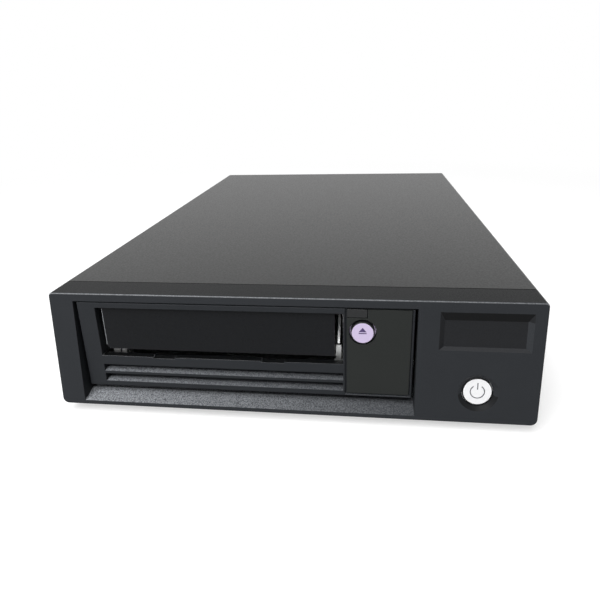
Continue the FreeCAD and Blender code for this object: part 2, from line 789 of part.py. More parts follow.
def fan_rotor():
    """A hub with twisted blades, each lofted from its root to its tip."""
    hub_radius = value("fan_hub / 2")
    reach = value("fan_bore / 2 - blade_gap")
    front, back = value("-fan_depth + fan_wall + fit_gap"), value("-fan_wall")
    depth = back - front
    axis = FreeCAD.Vector(0, 1, 0)
    solid = Part.makeCylinder(hub_radius, depth, FreeCAD.Vector(0, front, 0), axis)
    solid = solid.makeChamfer(value("fan_wall / 2"), [e for e in solid.Edges if e.Closed][:2])
    middle = (front + back) / 2
    sections = []
    roots = (hub_radius - value("fan_wall / 2"), value("blade_root_pitch"))
    for radius, pitch in (roots, (reach, value("blade_tip_pitch"))):
        rise = math.radians(pitch)
        chord = depth * value("blade_fill") / math.sin(rise) / 2
        along_y, along_z = chord * math.sin(rise), chord * math.cos(rise)
        bow, hollow = value("blade_bow"), value("blade_hollow")
        ends = [FreeCAD.Vector(radius, middle - along_y, -along_z),
                FreeCAD.Vector(radius, middle + along_y, along_z)]
        outer = FreeCAD.Vector(radius, middle + bow, -bow)
        inner = FreeCAD.Vector(radius, middle + hollow, -hollow)
        edges = [Part.Arc(ends[0], outer, ends[1]).toShape(),
                 Part.Arc(ends[1], inner, ends[0]).toShape()]
        sections.append(Part.Wire(edges))
    blade = Part.makeLoft(sections, True, True)
    sweep = Part.makeCylinder(reach, depth, FreeCAD.Vector(0, front, 0), axis)
    blade = blade.common(sweep)
    blades = []
    for n in range(int(value("blade_count"))):
        copy = blade.copy()
        copy.rotate(FreeCAD.Vector(), axis, 360 * n / value("blade_count"))
        blades.append(copy)
    shaft = Part.makeCylinder(value("shaft_radius"), value("fit_gap + fan_wall / 3"),
                              FreeCAD.Vector(0, front, 0), -axis)
    piece = plain_solid("fan_rotor", solid.multiFuse(blades + [shaft]))
    place_in_enclosure(piece, "fan_x", panel_front, "fan_z")


def fan_guard():
    """Concentric wire rings, carried by four spokes that end in the screw eyes."""
    body = new_body("fan_guard")
    place_in_enclosure(body, "fan_x", panel_back, "fan_z")
    wire, corner = "guard_wire", "fan_pitch / 2"
    count = int(value("guard_rings"))
    rings = []
    for n in range(1, count + 1):
        middle = f"({n} * fan_bore / 2 / {count})"
        rings.append([(f"{middle} + {wire} * {across}", f"{wire} * {up}") for across, up in (
            (0.5, 0.134), (1, 1), (0.5, 1.866), (-0.5, 1.866), (-1, 1), (-0.5, 0.134))])
    turned(body, *rings, axis="Y")
    eyes = [(f"{a}{corner}", f"{b}{corner}") for a in "+-" for b in "+-"]
    add(body, "XZ", "0", f"2 * {wire}", *[circle(x, z, "screw_head") for x, z in eyes])
    # Each spoke runs out from the innermost ring over the others.
    near, far = f"(fan_bore / 2 / {count} / sqrt(2))", f"({corner} - screw_radius / sqrt(2))"
    half = f"({wire} / sqrt(2))"
    for a in "+-":
        for b in "+-":
            add(body, "XZ", wire, f"2.5 * {wire}", polygon(
                (f"{a}({near} + {half})", f"{b}({near} - {half})"),
                (f"{a}({far} + {half})", f"{b}({far} - {half})"),
                (f"{a}({far} - {half})", f"{b}({far} + {half})"),
                (f"{a}({near} - {half})", f"{b}({near} + {half})")))
    cut(body, "XZ", f"2 * {wire}", f"3 * {wire}", *[
        circle(x, z, "screw_head + screw_play") for x, z in eyes])
    cut(body, "XZ", "-1", f"3 * {wire}", *[
        circle(x, z, "screw_radius + screw_play") for x, z in eyes])


def fan_screws():
    corner = "fan_pitch / 2"
    spots = [(f"fan_x {a} {corner}", f"{panel_back} + 2 * guard_wire", f"fan_z {b} {corner}")
             for a in "+-" for b in "+-"]
    place_in_enclosure(screws("fan_screws", spots, (0, -1, 0)))


def ac_inlet():
    body = new_body("ac_inlet")
    place_in_enclosure(body, "inlet_x", panel_back, "inlet_z")
    wide, high = "(inlet_width / 2)", "(inlet_height / 2)"
    add(body, "XZ", "-inlet_depth", "0", rectangle(f"-{wide}", f"-{high}", wide, high))
    add(body, "XZ", "0", "inlet_flange", rectangle(
        "-inlet_flange_width / 2", "-inlet_flange_height / 2",
        "inlet_flange_width / 2", "inlet_flange_height / 2"))
    round_edges(body, "corner_low", lambda e: along(e, "y") and abs(
        abs(e.CenterOfMass.x) - value("inlet_flange_width / 2")) < 0.01)
    inner_x, inner_z = f"({wide} - inlet_wall)", f"({high} - inlet_wall)"
    bevel = "(inlet_height / 4)"
    mouth = polygon(
        (f"-{inner_x}", f"-{inner_z}"), (inner_x, f"-{inner_z}"), (inner_x, f"{inner_z} - {bevel}"),
        (f"{inner_x} - {bevel}", inner_z), (f"-({inner_x} - {bevel})", inner_z),
        (f"-{inner_x}", f"{inner_z} - {bevel}"))
    cut(body, "XZ", "inlet_flange - inlet_cavity", "inlet_flange + 1", mouth)
    holes = [circle(f"{sign}inlet_screw_pitch / 2", "0", "screw_radius + screw_play") for sign in "+-"]
    cut(body, "XZ", "-1", "inlet_flange + 1", *holes)


def inlet_blades():
    body = new_body("inlet_blades")
    place_in_enclosure(body, "inlet_x", panel_back, "inlet_z")
    wide, tall = "contact_wide / 2", "contact_tall / 2"
    spots = (("-contact_side", "-contact_step"), ("contact_side", "-contact_step"), ("0", "contact_step"))
    add(body, "XZ", "inlet_flange - inlet_cavity", "-fit_gap", *[
        rectangle(f"{x} - {wide}", f"{z} - {tall}", f"{x} + {wide}", f"{z} + {tall}")
        for x, z in spots])


def inlet_screws():
    spots = [(f"inlet_x {sign} inlet_screw_pitch / 2", f"{panel_back} + inlet_flange", "inlet_z")
             for sign in "+-"]
    place_in_enclosure(screws("inlet_screws", spots, (0, -1, 0)))


def port_board():
    body = new_body("port_board")
    place_in_enclosure(body, "port_x", panel_front, "port_z")
    add(body, "XY", "-board_thick", "0", rectangle(
        "-port_width / 2", "-port_board_depth", "port_pitch + port_width / 2", "-sheet"))
    across = ("2 * boss_radius - port_width / 2", "port_pitch + port_width / 2 - 2 * boss_radius")
    deep = ("2 * boss_radius - port_board_depth", "-sheet - 2 * boss_radius")
    legs = [circle(x, y, "boss_radius") for x in across for y in deep]
    add(body, "XY", f"{tray_top} - port_z", "-board_thick", *legs)


def data_ports():
    for n in range(2):
        body = new_body(f"data_port_{n + 1}")
        place_in_enclosure(body, f"port_x + {n} * port_pitch", panel_back, "port_z")
        half, inner = "(port_width / 2)", "(port_width / 2 - port_wall)"
        add(body, "XZ", "-port_depth", "sheet", rectangle(f"-{half}", "0", half, "port_height"))
        cut(body, "XZ", "-port_cavity", "sheet + 1", rectangle(
            f"-{inner}", "port_wall", inner, "port_height - port_wall"))
        blade = "(port_height / 2)"
        add(body, "XZ", "-port_cavity", "port_blade - port_cavity", rectangle(
            f"-{inner} + port_blade_inset", f"{blade} - port_wall",
            f"{inner} - port_blade_inset", f"{blade} + port_wall"))


def supply_case():
    body = new_body("supply_case")
    place_in_enclosure(body, "supply_x", "supply_y", tray_top)
    half, length = "(supply_width / 2)", "supply_length"
    add(body, "XY", "0", "supply_height", rectangle(f"-{half}", "0", half, length))
    round_edges(body, "sheet", lambda e: along(e, "z"))
    cut(body, "XY", "-1", "supply_height - sheet", rectangle(
        f"-{half} + sheet", "sheet", f"{half} - sheet", f"{length} - sheet"))
    slits = []
    count = int(value("supply_slits"))
    for n in range(count):
        x = f"(({n} - {(count - 1) / 2}) * supply_width / {count + 2})"
        slits.append(ramp_slot(x, f"{length} * 0.25", x, f"{length} * 0.75", "sheet"))
    cut(body, "XY", "supply_height - 2 * sheet", "supply_height + 1", *slits)


def supply_board():
    body = new_body("supply_board")
    place_in_enclosure(body, "supply_x", "supply_y", tray_top)
    half, length, inset = "(supply_width / 2)", "supply_length", "(sheet + fit_gap)"
    top = "(board_lift + board_thick)"
    add(body, "XY", "board_lift", top, rectangle(
        f"-{half} + {inset}", inset, f"{half} - {inset}", f"{length} - {inset}"))
    corner = f"({inset} + 2 * boss_radius)"
    add(body, "XY", "0", "board_lift", *[
        circle(f"{sign}({half} - {corner})", y, "boss_radius")
        for sign in "+-" for y in (corner, f"{length} - {corner}")])
    # Transformer, cans and the heat sink.
    add(body, "XY", top, f"{top} + transformer_high", rectangle(
        f"-{half} * 0.45", f"{length} * 0.34", f"{half} * 0.35", f"{length} * 0.68"))
    add(body, "XY", top, f"{top} + can_high",
        circle(f"-{half} * 0.55", f"{length} * 0.18", "can_radius"),
        circle(f"{half} * 0.55", f"{length} * 0.18", "can_radius"))
    add(body, "XY", top, f"{top} + can_high * 0.7",
        circle(f"-{half} * 0.6", f"{length} * 0.82", "can_radius * 0.8"),
        circle(f"-{half} * 0.1", f"{length} * 0.82", "can_radius * 0.8"))
    add(body, "XY", top, f"{top} + sink_high", rectangle(
        f"{half} * 0.6", f"{length} * 0.38", f"{half} * 0.6 + sink_thick", f"{length} * 0.84"))


def drive_bezel():
    body = new_body("drive_bezel")
    place_in_drive(body)
    half = "(face_width / 2)"
    add(body, "XZ", "0", "face_depth", rectangle(f"-{half}", "0", half, "face_height"))
    round_edges(body, "face_round", lambda e: e.BoundBox.YMax < 0.01)
    notches = []
    for sign in "+-":
        x = f"(cartridge_x {sign} notch_pitch / 2)"
        notches.append(rectangle(f"{x} - notch_width / 2", "slot_low - notch_dip",
                                 f"{x} + notch_width / 2", "slot_low + 1"))
    cut(body, "XZ", "-1", "face_depth + 1", rectangle("slot_left", "slot_low", "slot_right", "slot_high"))
    cut(body, "XZ", "-1", "face_depth + 1", *notches)
    # The sill is thinner than the frame, so that the carriage's lips come up close behind it.
    cut(body, "XZ", "sill_depth", "face_depth + 1", rectangle(
        "slot_left", "slot_low - sill_relief", "slot_right", "slot_low + 1"))

    # Air louvres: a sloping sill with a gutter behind it and a slit at the top of the rear wall.
    rear = "(face_depth - louvre_wall)"
    for low, high in (("louvre_top_low", "louvre_top_high"), ("louvre_foot_low", "louvre_foot_high")):
        cut(body, "YZ", "slot_left", "slot_right", polygon(
            ("-1", low), ("0", low), ("louvre_sink", f"{low} + louvre_rise"), ("louvre_sink", low),
            (rear, low), (rear, f"{high} - louvre_slit"), ("face_depth + 1", f"{high} - louvre_slit"),
            ("face_depth + 1", high), ("-1", high)))

    # Seat of the status panel, the button's bore and the hollow behind them.
    cut(body, "XZ", "-1", "panel_thick", rectangle(
        "panel_left - panel_groove", "panel_low - panel_groove",
        "panel_right + panel_margin", "face_height + 1"))
    cut(body, "XZ", "eject_wall", "face_depth + 1", rectangle(
        "slot_right + pivot_depth + collar_wall", "panel_low", "panel_right", "slot_high"))
    cut(body, "XZ", "0", "face_depth", circle("eject_x", "eject_z", "eject_bore / 2"))
    cut(body, "XZ", "eject_wall", "face_depth", circle(
        "eject_x", "eject_z", "eject_bore / 2 + 5 * fit_gap"))
    pegs = [circle("eject_x + eject_bore / 2 + 2 * boss_radius", z, "boss_radius")
            for z in (f"{front_board_low} + 1.5 * boss_radius", "slot_high - 1.5 * boss_radius")]
    add(body, "XZ", "eject_wall", "front_board_y", *pegs)

    # Bearings of the door's pivots.
    cut(body, "YZ", "slot_left - pivot_depth", "slot_right + pivot_depth",
        circle("door_axis_y", "door_axis_z", "pivot_radius + pivot_play"))


def status_panel():
    body = new_body("status_panel")
    place_in_drive(body)
    tab_edge = "(panel_high - tab_height)"
    add(body, "XZ", "0", "panel_thick", polygon(
        ("panel_left", "panel_low"), ("panel_right", "panel_low"), ("panel_right", "panel_high"),
        ("panel_left + tab_width", "panel_high"), ("panel_left + tab_width", tab_edge),
        ("panel_left", tab_edge)), circle("eject_x", "eject_z", "eject_bore / 2"))


def status_window():
    body = new_body("status_window")
    place_in_drive(body)
    add(body, "XZ", "0", "panel_thick", rectangle(
        "panel_left", "panel_high - tab_height + tab_gap",
        "panel_left + tab_width - tab_gap", "panel_high"))


def eject_button():
    body = new_body("eject_button")
    place_in_drive(body, "eject_x", "0", "eject_z")
    disc, flange = "(eject_disc / 2)", "(eject_bore / 2 + 3 * fit_gap)"
    edge = "fit_gap"
    back = "(eject_wall + fit_gap)"
    turned(body, [
        ("0", "-eject_proud"), (f"{disc} - {edge}", "-eject_proud"), (disc, f"-eject_proud + {edge}"),
        (disc, back), (flange, back), (flange, f"{back} + sheet / 2"),
        ("shaft_radius", f"{back} + sheet / 2"), ("shaft_radius", f"{back} + sheet"),
        ("0", f"{back} + sheet")], axis="Y")


def front_board():
    body = new_body("front_board")
    place_in_drive(body, "0", "front_board_y")
    add(body, "XZ", "0", "board_thick", rectangle(
        "slot_right + pivot_depth + collar_wall", front_board_low,
        "drive_width / 2 - cast_wall - fit_gap", "slot_high"))


def eject_switch():
    body = new_body("eject_switch")
    place_in_drive(body, "eject_x", "front_board_y", "eject_z")
    half = "switch_size / 2"
    reach = "front_board_y - eject_wall - fit_gap - sheet - eject_travel - fit_gap"
    add(body, "XZ", f"-({reach})", "0", rectangle(f"-{half}", f"-{half}", half, half))


def cartridge_door():
    body = new_body("cartridge_door")
    place_in_drive(body, "cartridge_x", "door_axis_y", "door_axis_z")
    half = "(door_width / 2)"
    add(body, "YZ", f"-{half}", half, rectangle(
        "-door_thick / 2", "door_low - door_axis_z", "door_thick / 2", "0"))
    round_edges(body, "door_corner", lambda e: along(e, "y") and e.CenterOfMass.x < 0
                and e.CenterOfMass.z < value("door_low - door_axis_z") / 2, "PartDesign::Chamfer")
    add(body, "YZ", f"-{half}", half, circle("0", "0", "door_thick / 2"))
    reach = "(pivot_depth - fit_gap)"
    add(body, "YZ", f"slot_left - cartridge_x - {reach}", f"slot_right - cartridge_x + {reach}",
        circle("0", "0", "pivot_radius"))


def drive_base():
    body = new_body("drive_base")
    place_in_drive(body)
    half, inner = "(drive_width / 2)", "(drive_width / 2 - cast_wall)"
    add(body, "XZ", "face_depth", "drive_length", polygon(
        (f"-{half}", "drive_low"), (f"-{inner}", "drive_low"), (f"-{inner}", "floor_low"),
        (inner, "floor_low"), (inner, "drive_low"), (half, "drive_low"), (half, wall_high),
        (inner, wall_high), (inner, "floor_high"), (f"-{inner}", "floor_high"),
        (f"-{inner}", wall_high), (f"-{half}", wall_high)))
    round_edges(body, "cast_wall / 2", lambda e: along(e, "y") and at(e, "z", "floor_high"))
    add(body, "XZ", "drive_length - cast_wall", "drive_length",
        rectangle(f"-{inner}", "floor_high", inner, wall_high))
    # Bosses that the main board hangs from.
    side = "(board_width / 2 - 2 * boss_radius)"
    ends = ("board_y + 2 * boss_radius", "board_y + board_length - 2 * boss_radius")
    spots = [circle(f"{sign}{side}", y, "boss_radius") for sign in "+-" for y in ends]
    add(body, "XY", "drive_low + 2 * board_thick", "floor_low", *spots)
    # Opening for the plugs at the back, and the side screw holes.
    sill = "(floor_high + plug_gap_sill)"
    cut(body, "XZ", "drive_length - cast_wall - 1", "drive_length + 1", rectangle(
        "-plug_gap_width / 2", sill, "plug_gap_width / 2", f"{sill} + plug_gap_height"))
    holes = [circle(y, "bracket_screw_z", "screw_radius + screw_play") for y in bracket_screw_ys()]
    cut(body, "YZ", f"-{half} - 1", f"{half} + 1", *holes)


def bracket_screw_ys():
    return ("bracket_y + bracket_screw_inset", "bracket_y + bracket_length - bracket_screw_inset")


def drive_lid():
    body = new_body("drive_lid")
    place_in_drive(body)
    half = "(drive_width / 2)"
    add(body, "XY", wall_high, "drive_high", rectangle(f"-{half}", "face_depth", half, "drive_length"))
    ribs = [rectangle("-rib_length / 2", f"rib_y + {n} * rib_step", "rib_length / 2",
                      f"rib_y + {n} * rib_step + rib_width") for n in range(3)]
    cut(body, "XY", "drive_high - lid_thick / 2", "drive_high + 1", *ribs)


def main_board():
    body = new_body("main_board")
    place_in_drive(body, "0", "board_y", "drive_low + board_thick")
    half = "(board_width / 2)"
    add(body, "XY", "0", "board_thick", rectangle(f"-{half}", "0", half, "board_length"))
    chips = []
    for across, deep, side in ((-0.1, 0.44, "chip_side"), (0.42, 0.3, "driver_chip"),
                               (-0.57, 0.24, "driver_chip"), (0.45, 0.64, "driver_chip")):
        x, y = f"{half} * {across}", f"board_length * {deep}"
        chips.append(rectangle(f"{x} - {side} / 2", f"{y} - {side} / 2",
                               f"{x} + {side} / 2", f"{y} + {side} / 2"))
    add(body, "XY", "-chip_high", "0", *chips)


def drive_brackets():
    for side, sign in (("left", -1), ("right", 1)):
        body = new_body(f"drive_bracket_{side}")
        place_in_drive(body, "0", "bracket_y", f"{tray_top} - drive_lift")
        wall = sorted((f"{sign} * drive_width / 2", f"{sign} * (drive_width / 2 + sheet)"), key=value)
        foot = sorted((f"{sign} * drive_width / 2", f"{sign} * (drive_width / 2 + bracket_foot)"),
                      key=value)
        add(body, "XY", "0", "sheet", rectangle(foot[0], "0", foot[1], "bracket_length"))
        add(body, "XY", "0", "bracket_height", rectangle(wall[0], "0", wall[1], "bracket_length"))
        z = f"bracket_screw_z - ({tray_top} - drive_lift)"
        holes = [circle(f"{y} - bracket_y", z, "screw_radius + screw_play") for y in bracket_screw_ys()]
        cut(body, "YZ", f"{wall[0]} - 1", f"{wall[1]} + 1", *holes)


def drive_screws():
    turns = []
    for sign in (-1, 1):
        spots = [(f"{sign} * (drive_width / 2 + sheet)", y, "bracket_screw_z")
                 for y in bracket_screw_ys()]
        turns.append((spots, (-sign, 0, 0)))
    for (spots, way), side in zip(turns, ("left", "right")):
        place_in_drive(screws(f"drive_screws_{side}", spots, way))


def side_plates():
    """Upright plates whose sloping slots guide the carriage back and down."""
    for side, sign in (("left", -1), ("right", 1)):
        body = new_body(f"ramp_plate_{side}")
        place_in_drive(body, "cartridge_x")
        wall = sorted((f"{sign} * {plate_inner}", f"{sign} * {plate_outer}"), key=value)
        add(body, "YZ", *wall, rectangle(
            "side_plate_front_y", "floor_high", "side_plate_back_y", "side_plate_high"))
        foot = sorted((f"{sign} * ({plate_inner} - side_foot)", f"{sign} * {plate_inner}"), key=value)
        add(body, "YZ", *foot, rectangle(
            "side_plate_front_y", "floor_high", "side_plate_back_y", "floor_high + side_plate"))
        for y in ("ramp_pin_front_y", "ramp_pin_back_y"):
            cut(body, "YZ", f"{wall[0]} - 1", f"{wall[1]} + 1", ramp_slot(
                y, "ramp_pin_z", f"{y} + load_travel", "ramp_pin_z - load_drop",
                "ramp_pin + ramp_play"))


def cartridge_carriage():
    body = new_body("cartridge_carriage")
    place_in_drive(body, "cartridge_x")
    back = "(cartridge_y + cartridge_depth + carriage_play)"
    mouth = f"({cage_front} + lip_reach)"
    floor_low, edge_top = "(carriage_floor - carriage_sheet)", "(carriage_floor + edge_high)"
    add(body, "XZ", mouth, f"{back} + carriage_sheet", polygon(
        (f"-{cage_outer}", floor_low), (cage_outer, floor_low), (cage_outer, "carriage_wall_high"),
        (cage_half, "carriage_wall_high"), (cage_half, "carriage_floor"),
        (f"-{cage_half}", "carriage_floor"), (f"-{cage_half}", "carriage_wall_high"),
        (f"-{cage_outer}", "carriage_wall_high")))
    cut(body, "XY", f"{floor_low} - 1", "carriage_floor", rectangle(
        f"-{cage_half} + ledge_width", f"{cage_front} + ledge_width",
        f"{cage_half} - ledge_width", f"{back} + carriage_sheet + 1"))
    # The walls' front edges lean back above the mouth.
    cut(body, "YZ", f"-{cage_outer} - 1", f"{cage_outer} + 1", polygon(
        (f"{mouth} - 1", edge_top), (mouth, edge_top),
        (f"{mouth} + wall_lean", "carriage_wall_high + 1"), (f"{mouth} - 1", "carriage_wall_high + 1")))
    # Back stops beside the way of the tape.
    for sign in (-1, 1):
        stop = sorted((f"{sign} * {cage_half}", f"{sign} * ({cage_half} - ledge_width)"), key=value)
        add(body, "XZ", back, f"{back} + carriage_sheet", rectangle(
            stop[0], floor_low, stop[1], "carriage_wall_high - stop_drop"))
    # Bent-down lips at the left of the mouth, which lead the cartridge in.
    second = "(lip_inset + lip_wide + lip_gap)"
    for near, far in (("lip_inset", "lip_inset + lip_wide"), (second, f"{second} + lip_narrow")):
        left, right = f"-{cage_half} + {near}", f"-{cage_half} + {far}"
        add(body, "XY", floor_low, "carriage_floor", rectangle(left, cage_front, right, f"{mouth} + 1"))
        add(body, "XZ", cage_front, f"{cage_front} + carriage_sheet", rectangle(
            left, f"{floor_low} - lip_drop", right, "carriage_floor"))
    # The right wall's foot comes as far forward and ends in a bent edge.
    add(body, "YZ", cage_half, cage_outer, rectangle(cage_front, floor_low, f"{mouth} + 1", edge_top))
    add(body, "XZ", cage_front, f"{cage_front} + carriage_sheet", rectangle(
        f"{cage_half} - edge_turn", f"{floor_low} - lip_drop", f"{cage_outer} + edge_reach", edge_top))
    # Ramp pins; those on the right reach on into the slider.
    ends = {-1: f"{plate_outer} + fit_gap", 1: f"{slider_outer} + fit_gap"}
    for sign in (-1, 1):
        reach = sorted((f"{sign} * ({cage_outer} - carriage_sheet / 2)", f"{sign} * ({ends[sign]})"),
                       key=value)
        pins = [circle(y, "ramp_pin_z", "ramp_pin") for y in ("ramp_pin_front_y", "ramp_pin_back_y")]
        add(body, "YZ", *reach, *pins)


def loader_slider():
    """A plate beside the ramp plate: upright slots for the pins and a rack along its edge."""
    body = new_body("loader_slider")
    place_in_drive(body, "cartridge_x")
    low, high = "(gear_low)", "(ramp_pin_z + 3 * ramp_pin)"
    front, back = "(ramp_pin_front_y - 4 * ramp_pin)", "(ramp_pin_back_y + 4 * ramp_pin)"
    add(body, "YZ", slider_inner, slider_outer, rectangle(front, low, back, high))
    for y in ("ramp_pin_front_y", "ramp_pin_back_y"):
        cut(body, "YZ", f"{slider_inner} - 1", f"{slider_outer} + 1", ramp_slot(
            y, "ramp_pin_z", y, "ramp_pin_z - load_drop", "ramp_pin + ramp_play"))
    pitch = "(pi * tooth_module)"
    line = f"({slider_outer} + rack_reach)"
    root, tip = f"({line} - 1.25 * tooth_module)", f"({line} + tooth_module)"
    wide = f"({pitch} / 4 - tooth_play / 2)"
    lean_in = "(tooth_module * tan(pressure_angle * 1 deg))"
    lean_out = f"(1.25 * {lean_in})"
    middle = "gear_y"
    half_count = (value("rack_teeth") - 1) / 2
    start = f"({middle} - ({half_count} + 0.5) * {pitch})"
    end = f"({middle} + ({half_count} + 0.5) * {pitch})"
    outline = [(slider_outer, start), (root, start)]
    for n in range(int(value("rack_teeth"))):
        y = f"({middle} + ({n} - {half_count}) * {pitch})"
        outline += [(root, f"{y} - {wide} - {lean_out}"), (tip, f"{y} - {wide} + {lean_in}"),
                    (tip, f"{y} + {wide} - {lean_in}"), (root, f"{y} + {wide} + {lean_out}")]
    outline += [(root, end), (slider_outer, end)]
    add(body, "XY", "gear_low", "gear_low + gear_thick", polygon(*outline))


def loader_gear():
    """A spur gear with involute flanks, a tooth space facing the rack, and its shaft."""
    teeth, module = int(value("gear_teeth")), value("tooth_module")
    pitch_radius = teeth * module / 2
    base_radius = pitch_radius * math.cos(math.radians(value("pressure_angle")))
    root_radius, tip_radius = pitch_radius - 1.25 * module, pitch_radius + module
    play = value("tooth_play") / 2 / pitch_radius
    roll = lambda radius: math.sqrt(max(0.0, (radius / base_radius) ** 2 - 1))
    spread = lambda radius: roll(radius) - math.atan(roll(radius))
    half = math.pi / 2 / teeth + spread(pitch_radius) - play / 2
    radii = [base_radius + (tip_radius - base_radius) * n / 4 for n in range(5)]
    flank = [(root_radius, half)] + [(radius, half - spread(radius)) for radius in radii]
    points = []
    for n in range(teeth):
        middle = math.pi + (n + 0.5) * 2 * math.pi / teeth
        tooth = [(r, middle - a) for r, a in flank] + [(r, middle + a) for r, a in reversed(flank)]
        points += [FreeCAD.Vector(r * math.cos(a), r * math.sin(a), 0) for r, a in tooth]
    wire = Part.makePolygon(points + points[:1])
    thick = value("gear_thick")
    gear = Part.Face(wire).extrude(FreeCAD.Vector(0, 0, thick))
    shaft = Part.makeCylinder(value("gear_shaft"), value("gearbox_low - gear_low + shaft_reach"))
    collar = Part.makeCylinder(value("2 * gear_shaft"), value("gearbox_low - gear_low - fit_gap"))
    piece = plain_solid("loader_gear", gear.multiFuse([shaft, collar]).removeSplitter())
    place_in_drive(piece, gear_x, "gear_y", "gear_low")


def loader_motor():
    body = new_body("loader_motor")
    place_in_drive(body, gear_x, "gear_y", "gearbox_low")
    half_x, half_y = "(gearbox_width / 2)", "(gearbox_length / 2)"
    wall = f"(drive_width / 2 - cast_wall - ({gear_x}))"
    left = f"({wall} - gearbox_width)"
    add(body, "XY", "0", "gearbox_height", rectangle(left, f"-{half_y}", wall, half_y))
    round_edges(body, "sheet", lambda e: along(e, "z"))
    cut(body, "XY", "0", "shaft_reach + sheet", circle("0", "0", "gear_shaft + shaft_play"))
    middle = f"({left} + {half_x})"
    end = f"({half_y} + motor_length)"
    add(body, "XZ", half_y, end, circle(middle, "gearbox_height / 2", "motor_radius"))
    add(body, "XZ", end, f"{end} + motor_boss", circle(middle, "gearbox_height / 2", "motor_radius / 3"))
    add(body, "XY", "floor_high + cast_wall / 2 - gearbox_low", "0",
        rectangle(f"{wall} - motor_leg", f"-{half_y}", wall, f"motor_leg - {half_y}"),
        rectangle(f"{wall} - motor_leg", f"{half_y} - motor_leg", wall, half_y))


def reel_motor(name, y, radius):
    body = new_body(name)
    place_in_drive(body, "cartridge_x", y)
    bore = "(shaft_radius + shaft_play)"
    turned(body, [
        (bore, "floor_high"), (radius, "floor_high"), (radius, "motor_top - sheet / 2"),
        (f"{radius} - sheet / 2", "motor_top"), (bore, "motor_top")])


def drive_hub():
    body = new_body("drive_hub")
    place_in_drive(body, "cartridge_x", spindle_y)
    low = "(motor_top + rotor_gap)"
    high = f"({low} + hub_height)"
    turned(body, [
        ("0", "floor_high + rotor_gap"), ("shaft_radius", "floor_high + rotor_gap"),
        ("shaft_radius", low), ("hub_radius", low), ("hub_radius", high),
        ("hub_radius * 0.55", high), ("hub_radius * 0.5", f"{high} + sheet / 2"),
        ("0", f"{high} + sheet / 2")])
    tooth = cut(body, "XY", f"{high} - sheet / 2", f"{high} + sheet", rectangle(
        "hub_radius * 0.62", "-sheet / 2", "hub_radius + 1", "sheet / 2"))
    pattern = body.newObject("PartDesign::PolarPattern", "hub_teeth_ring")
    pattern.Originals = [tooth]
    pattern.Axis = (tooth.Profile[0], ["N_Axis"])
    pattern.Angle = 360
    pattern.setExpression("Occurrences", bound("hub_teeth"))
    body.Tip = pattern


def takeup_reel():
    body = new_body("takeup_reel")
    place_in_drive(body, "cartridge_x", "takeup_y")
    low = "(motor_top + rotor_gap)"
    inner_low = f"({low} + flange_thick)"
    inner_high = f"({inner_low} + takeup_gap)"
    high = f"({inner_high} + flange_thick)"
    turned(body, [
        ("0", "floor_high + rotor_gap"), ("shaft_radius", "floor_high + rotor_gap"),
        ("shaft_radius", low), ("takeup_radius", low), ("takeup_radius", inner_low),
        ("takeup_core", inner_low), ("takeup_core", inner_high), ("takeup_radius", inner_high),
        ("takeup_radius", high), ("takeup_core * 0.6", high), ("takeup_core * 0.6", f"{high} - sheet"),
        ("0", f"{high} - sheet")])
    window = cut(body, "XY", inner_high, f"{high} + 1", circle(
        "(takeup_core + takeup_radius) / 2", "0", "(takeup_radius - takeup_core) / 3"))
    pattern = body.newObject("PartDesign::PolarPattern", "reel_windows")
    pattern.Originals = [window]
    pattern.Axis = (window.Profile[0], ["N_Axis"])
    pattern.Angle = 360
    pattern.Occurrences = 6
    body.Tip = pattern
    # Slot that swallows the leader pin.
    cut(body, "XY", inner_low, inner_high, rectangle(
        "-leader_slot_width / 2", "-takeup_core - 1",
        "leader_slot_width / 2", "leader_slot_depth - takeup_core"))


def roller_xs():
    return [f"(cartridge_x {sign} {reach})"
            for sign, reach in (("-", "roller_outer_x"), ("-", "roller_inner_x"),
                                ("+", "roller_inner_x"), ("+", "roller_outer_x"))]


def guide_rollers():
    for n, x in enumerate(roller_xs(), start=1):
        body = new_body(f"guide_roller_{n}")
        place_in_drive(body, x, "roller_y", "roller_low")
        bore, lip = "(roller_pin + shaft_play)", "(sheet * 0.7)"
        waist = "(roller_radius - 0.6)"
        turned(body, [
            (bore, "0"), ("roller_radius", "0"), ("roller_radius", lip), (waist, lip),
            (waist, f"roller_height - {lip}"), ("roller_radius", f"roller_height - {lip}"),
            ("roller_radius", "roller_height"), (bore, "roller_height")])


def roller_pins():
    body = new_body("roller_pins")
    place_in_drive(body)
    top = "(roller_low + roller_height)"
    spots = roller_xs()
    add(body, "XY", "floor_high", f"{top} + 2 * fit_gap + sheet",
        *[circle(x, "roller_y", "roller_pin") for x in spots])
    add(body, "XY", "floor_high", "roller_low - fit_gap",
        *[circle(x, "roller_y", "roller_pin * 2") for x in spots])
    add(body, "XY", f"{top} + fit_gap", f"{top} + fit_gap + sheet",
        *[circle(x, "roller_y", "roller_pin * 1.8") for x in spots])


def tape_head():
    body = new_body("tape_head")
    place_in_drive(body, "cartridge_x", "head_y", "head_low")
    half = "(head_width / 2)"
    add(body, "XY", "0", "head_height", polygon(
        (f"-{half}", "head_thick"), (f"-{half}", "sheet"), (f"-{half} * 0.7", "0"),
        (f"{half} * 0.7", "0"), (half, "sheet"), (half, "head_thick")))
    cut(body, "XY", "-1", "head_height + 1", *[
        rectangle(f"{sign}head_groove_x - head_groove / 2", "-1",
                  f"{sign}head_groove_x + head_groove / 2", "sheet / 2") for sign in "+-"])


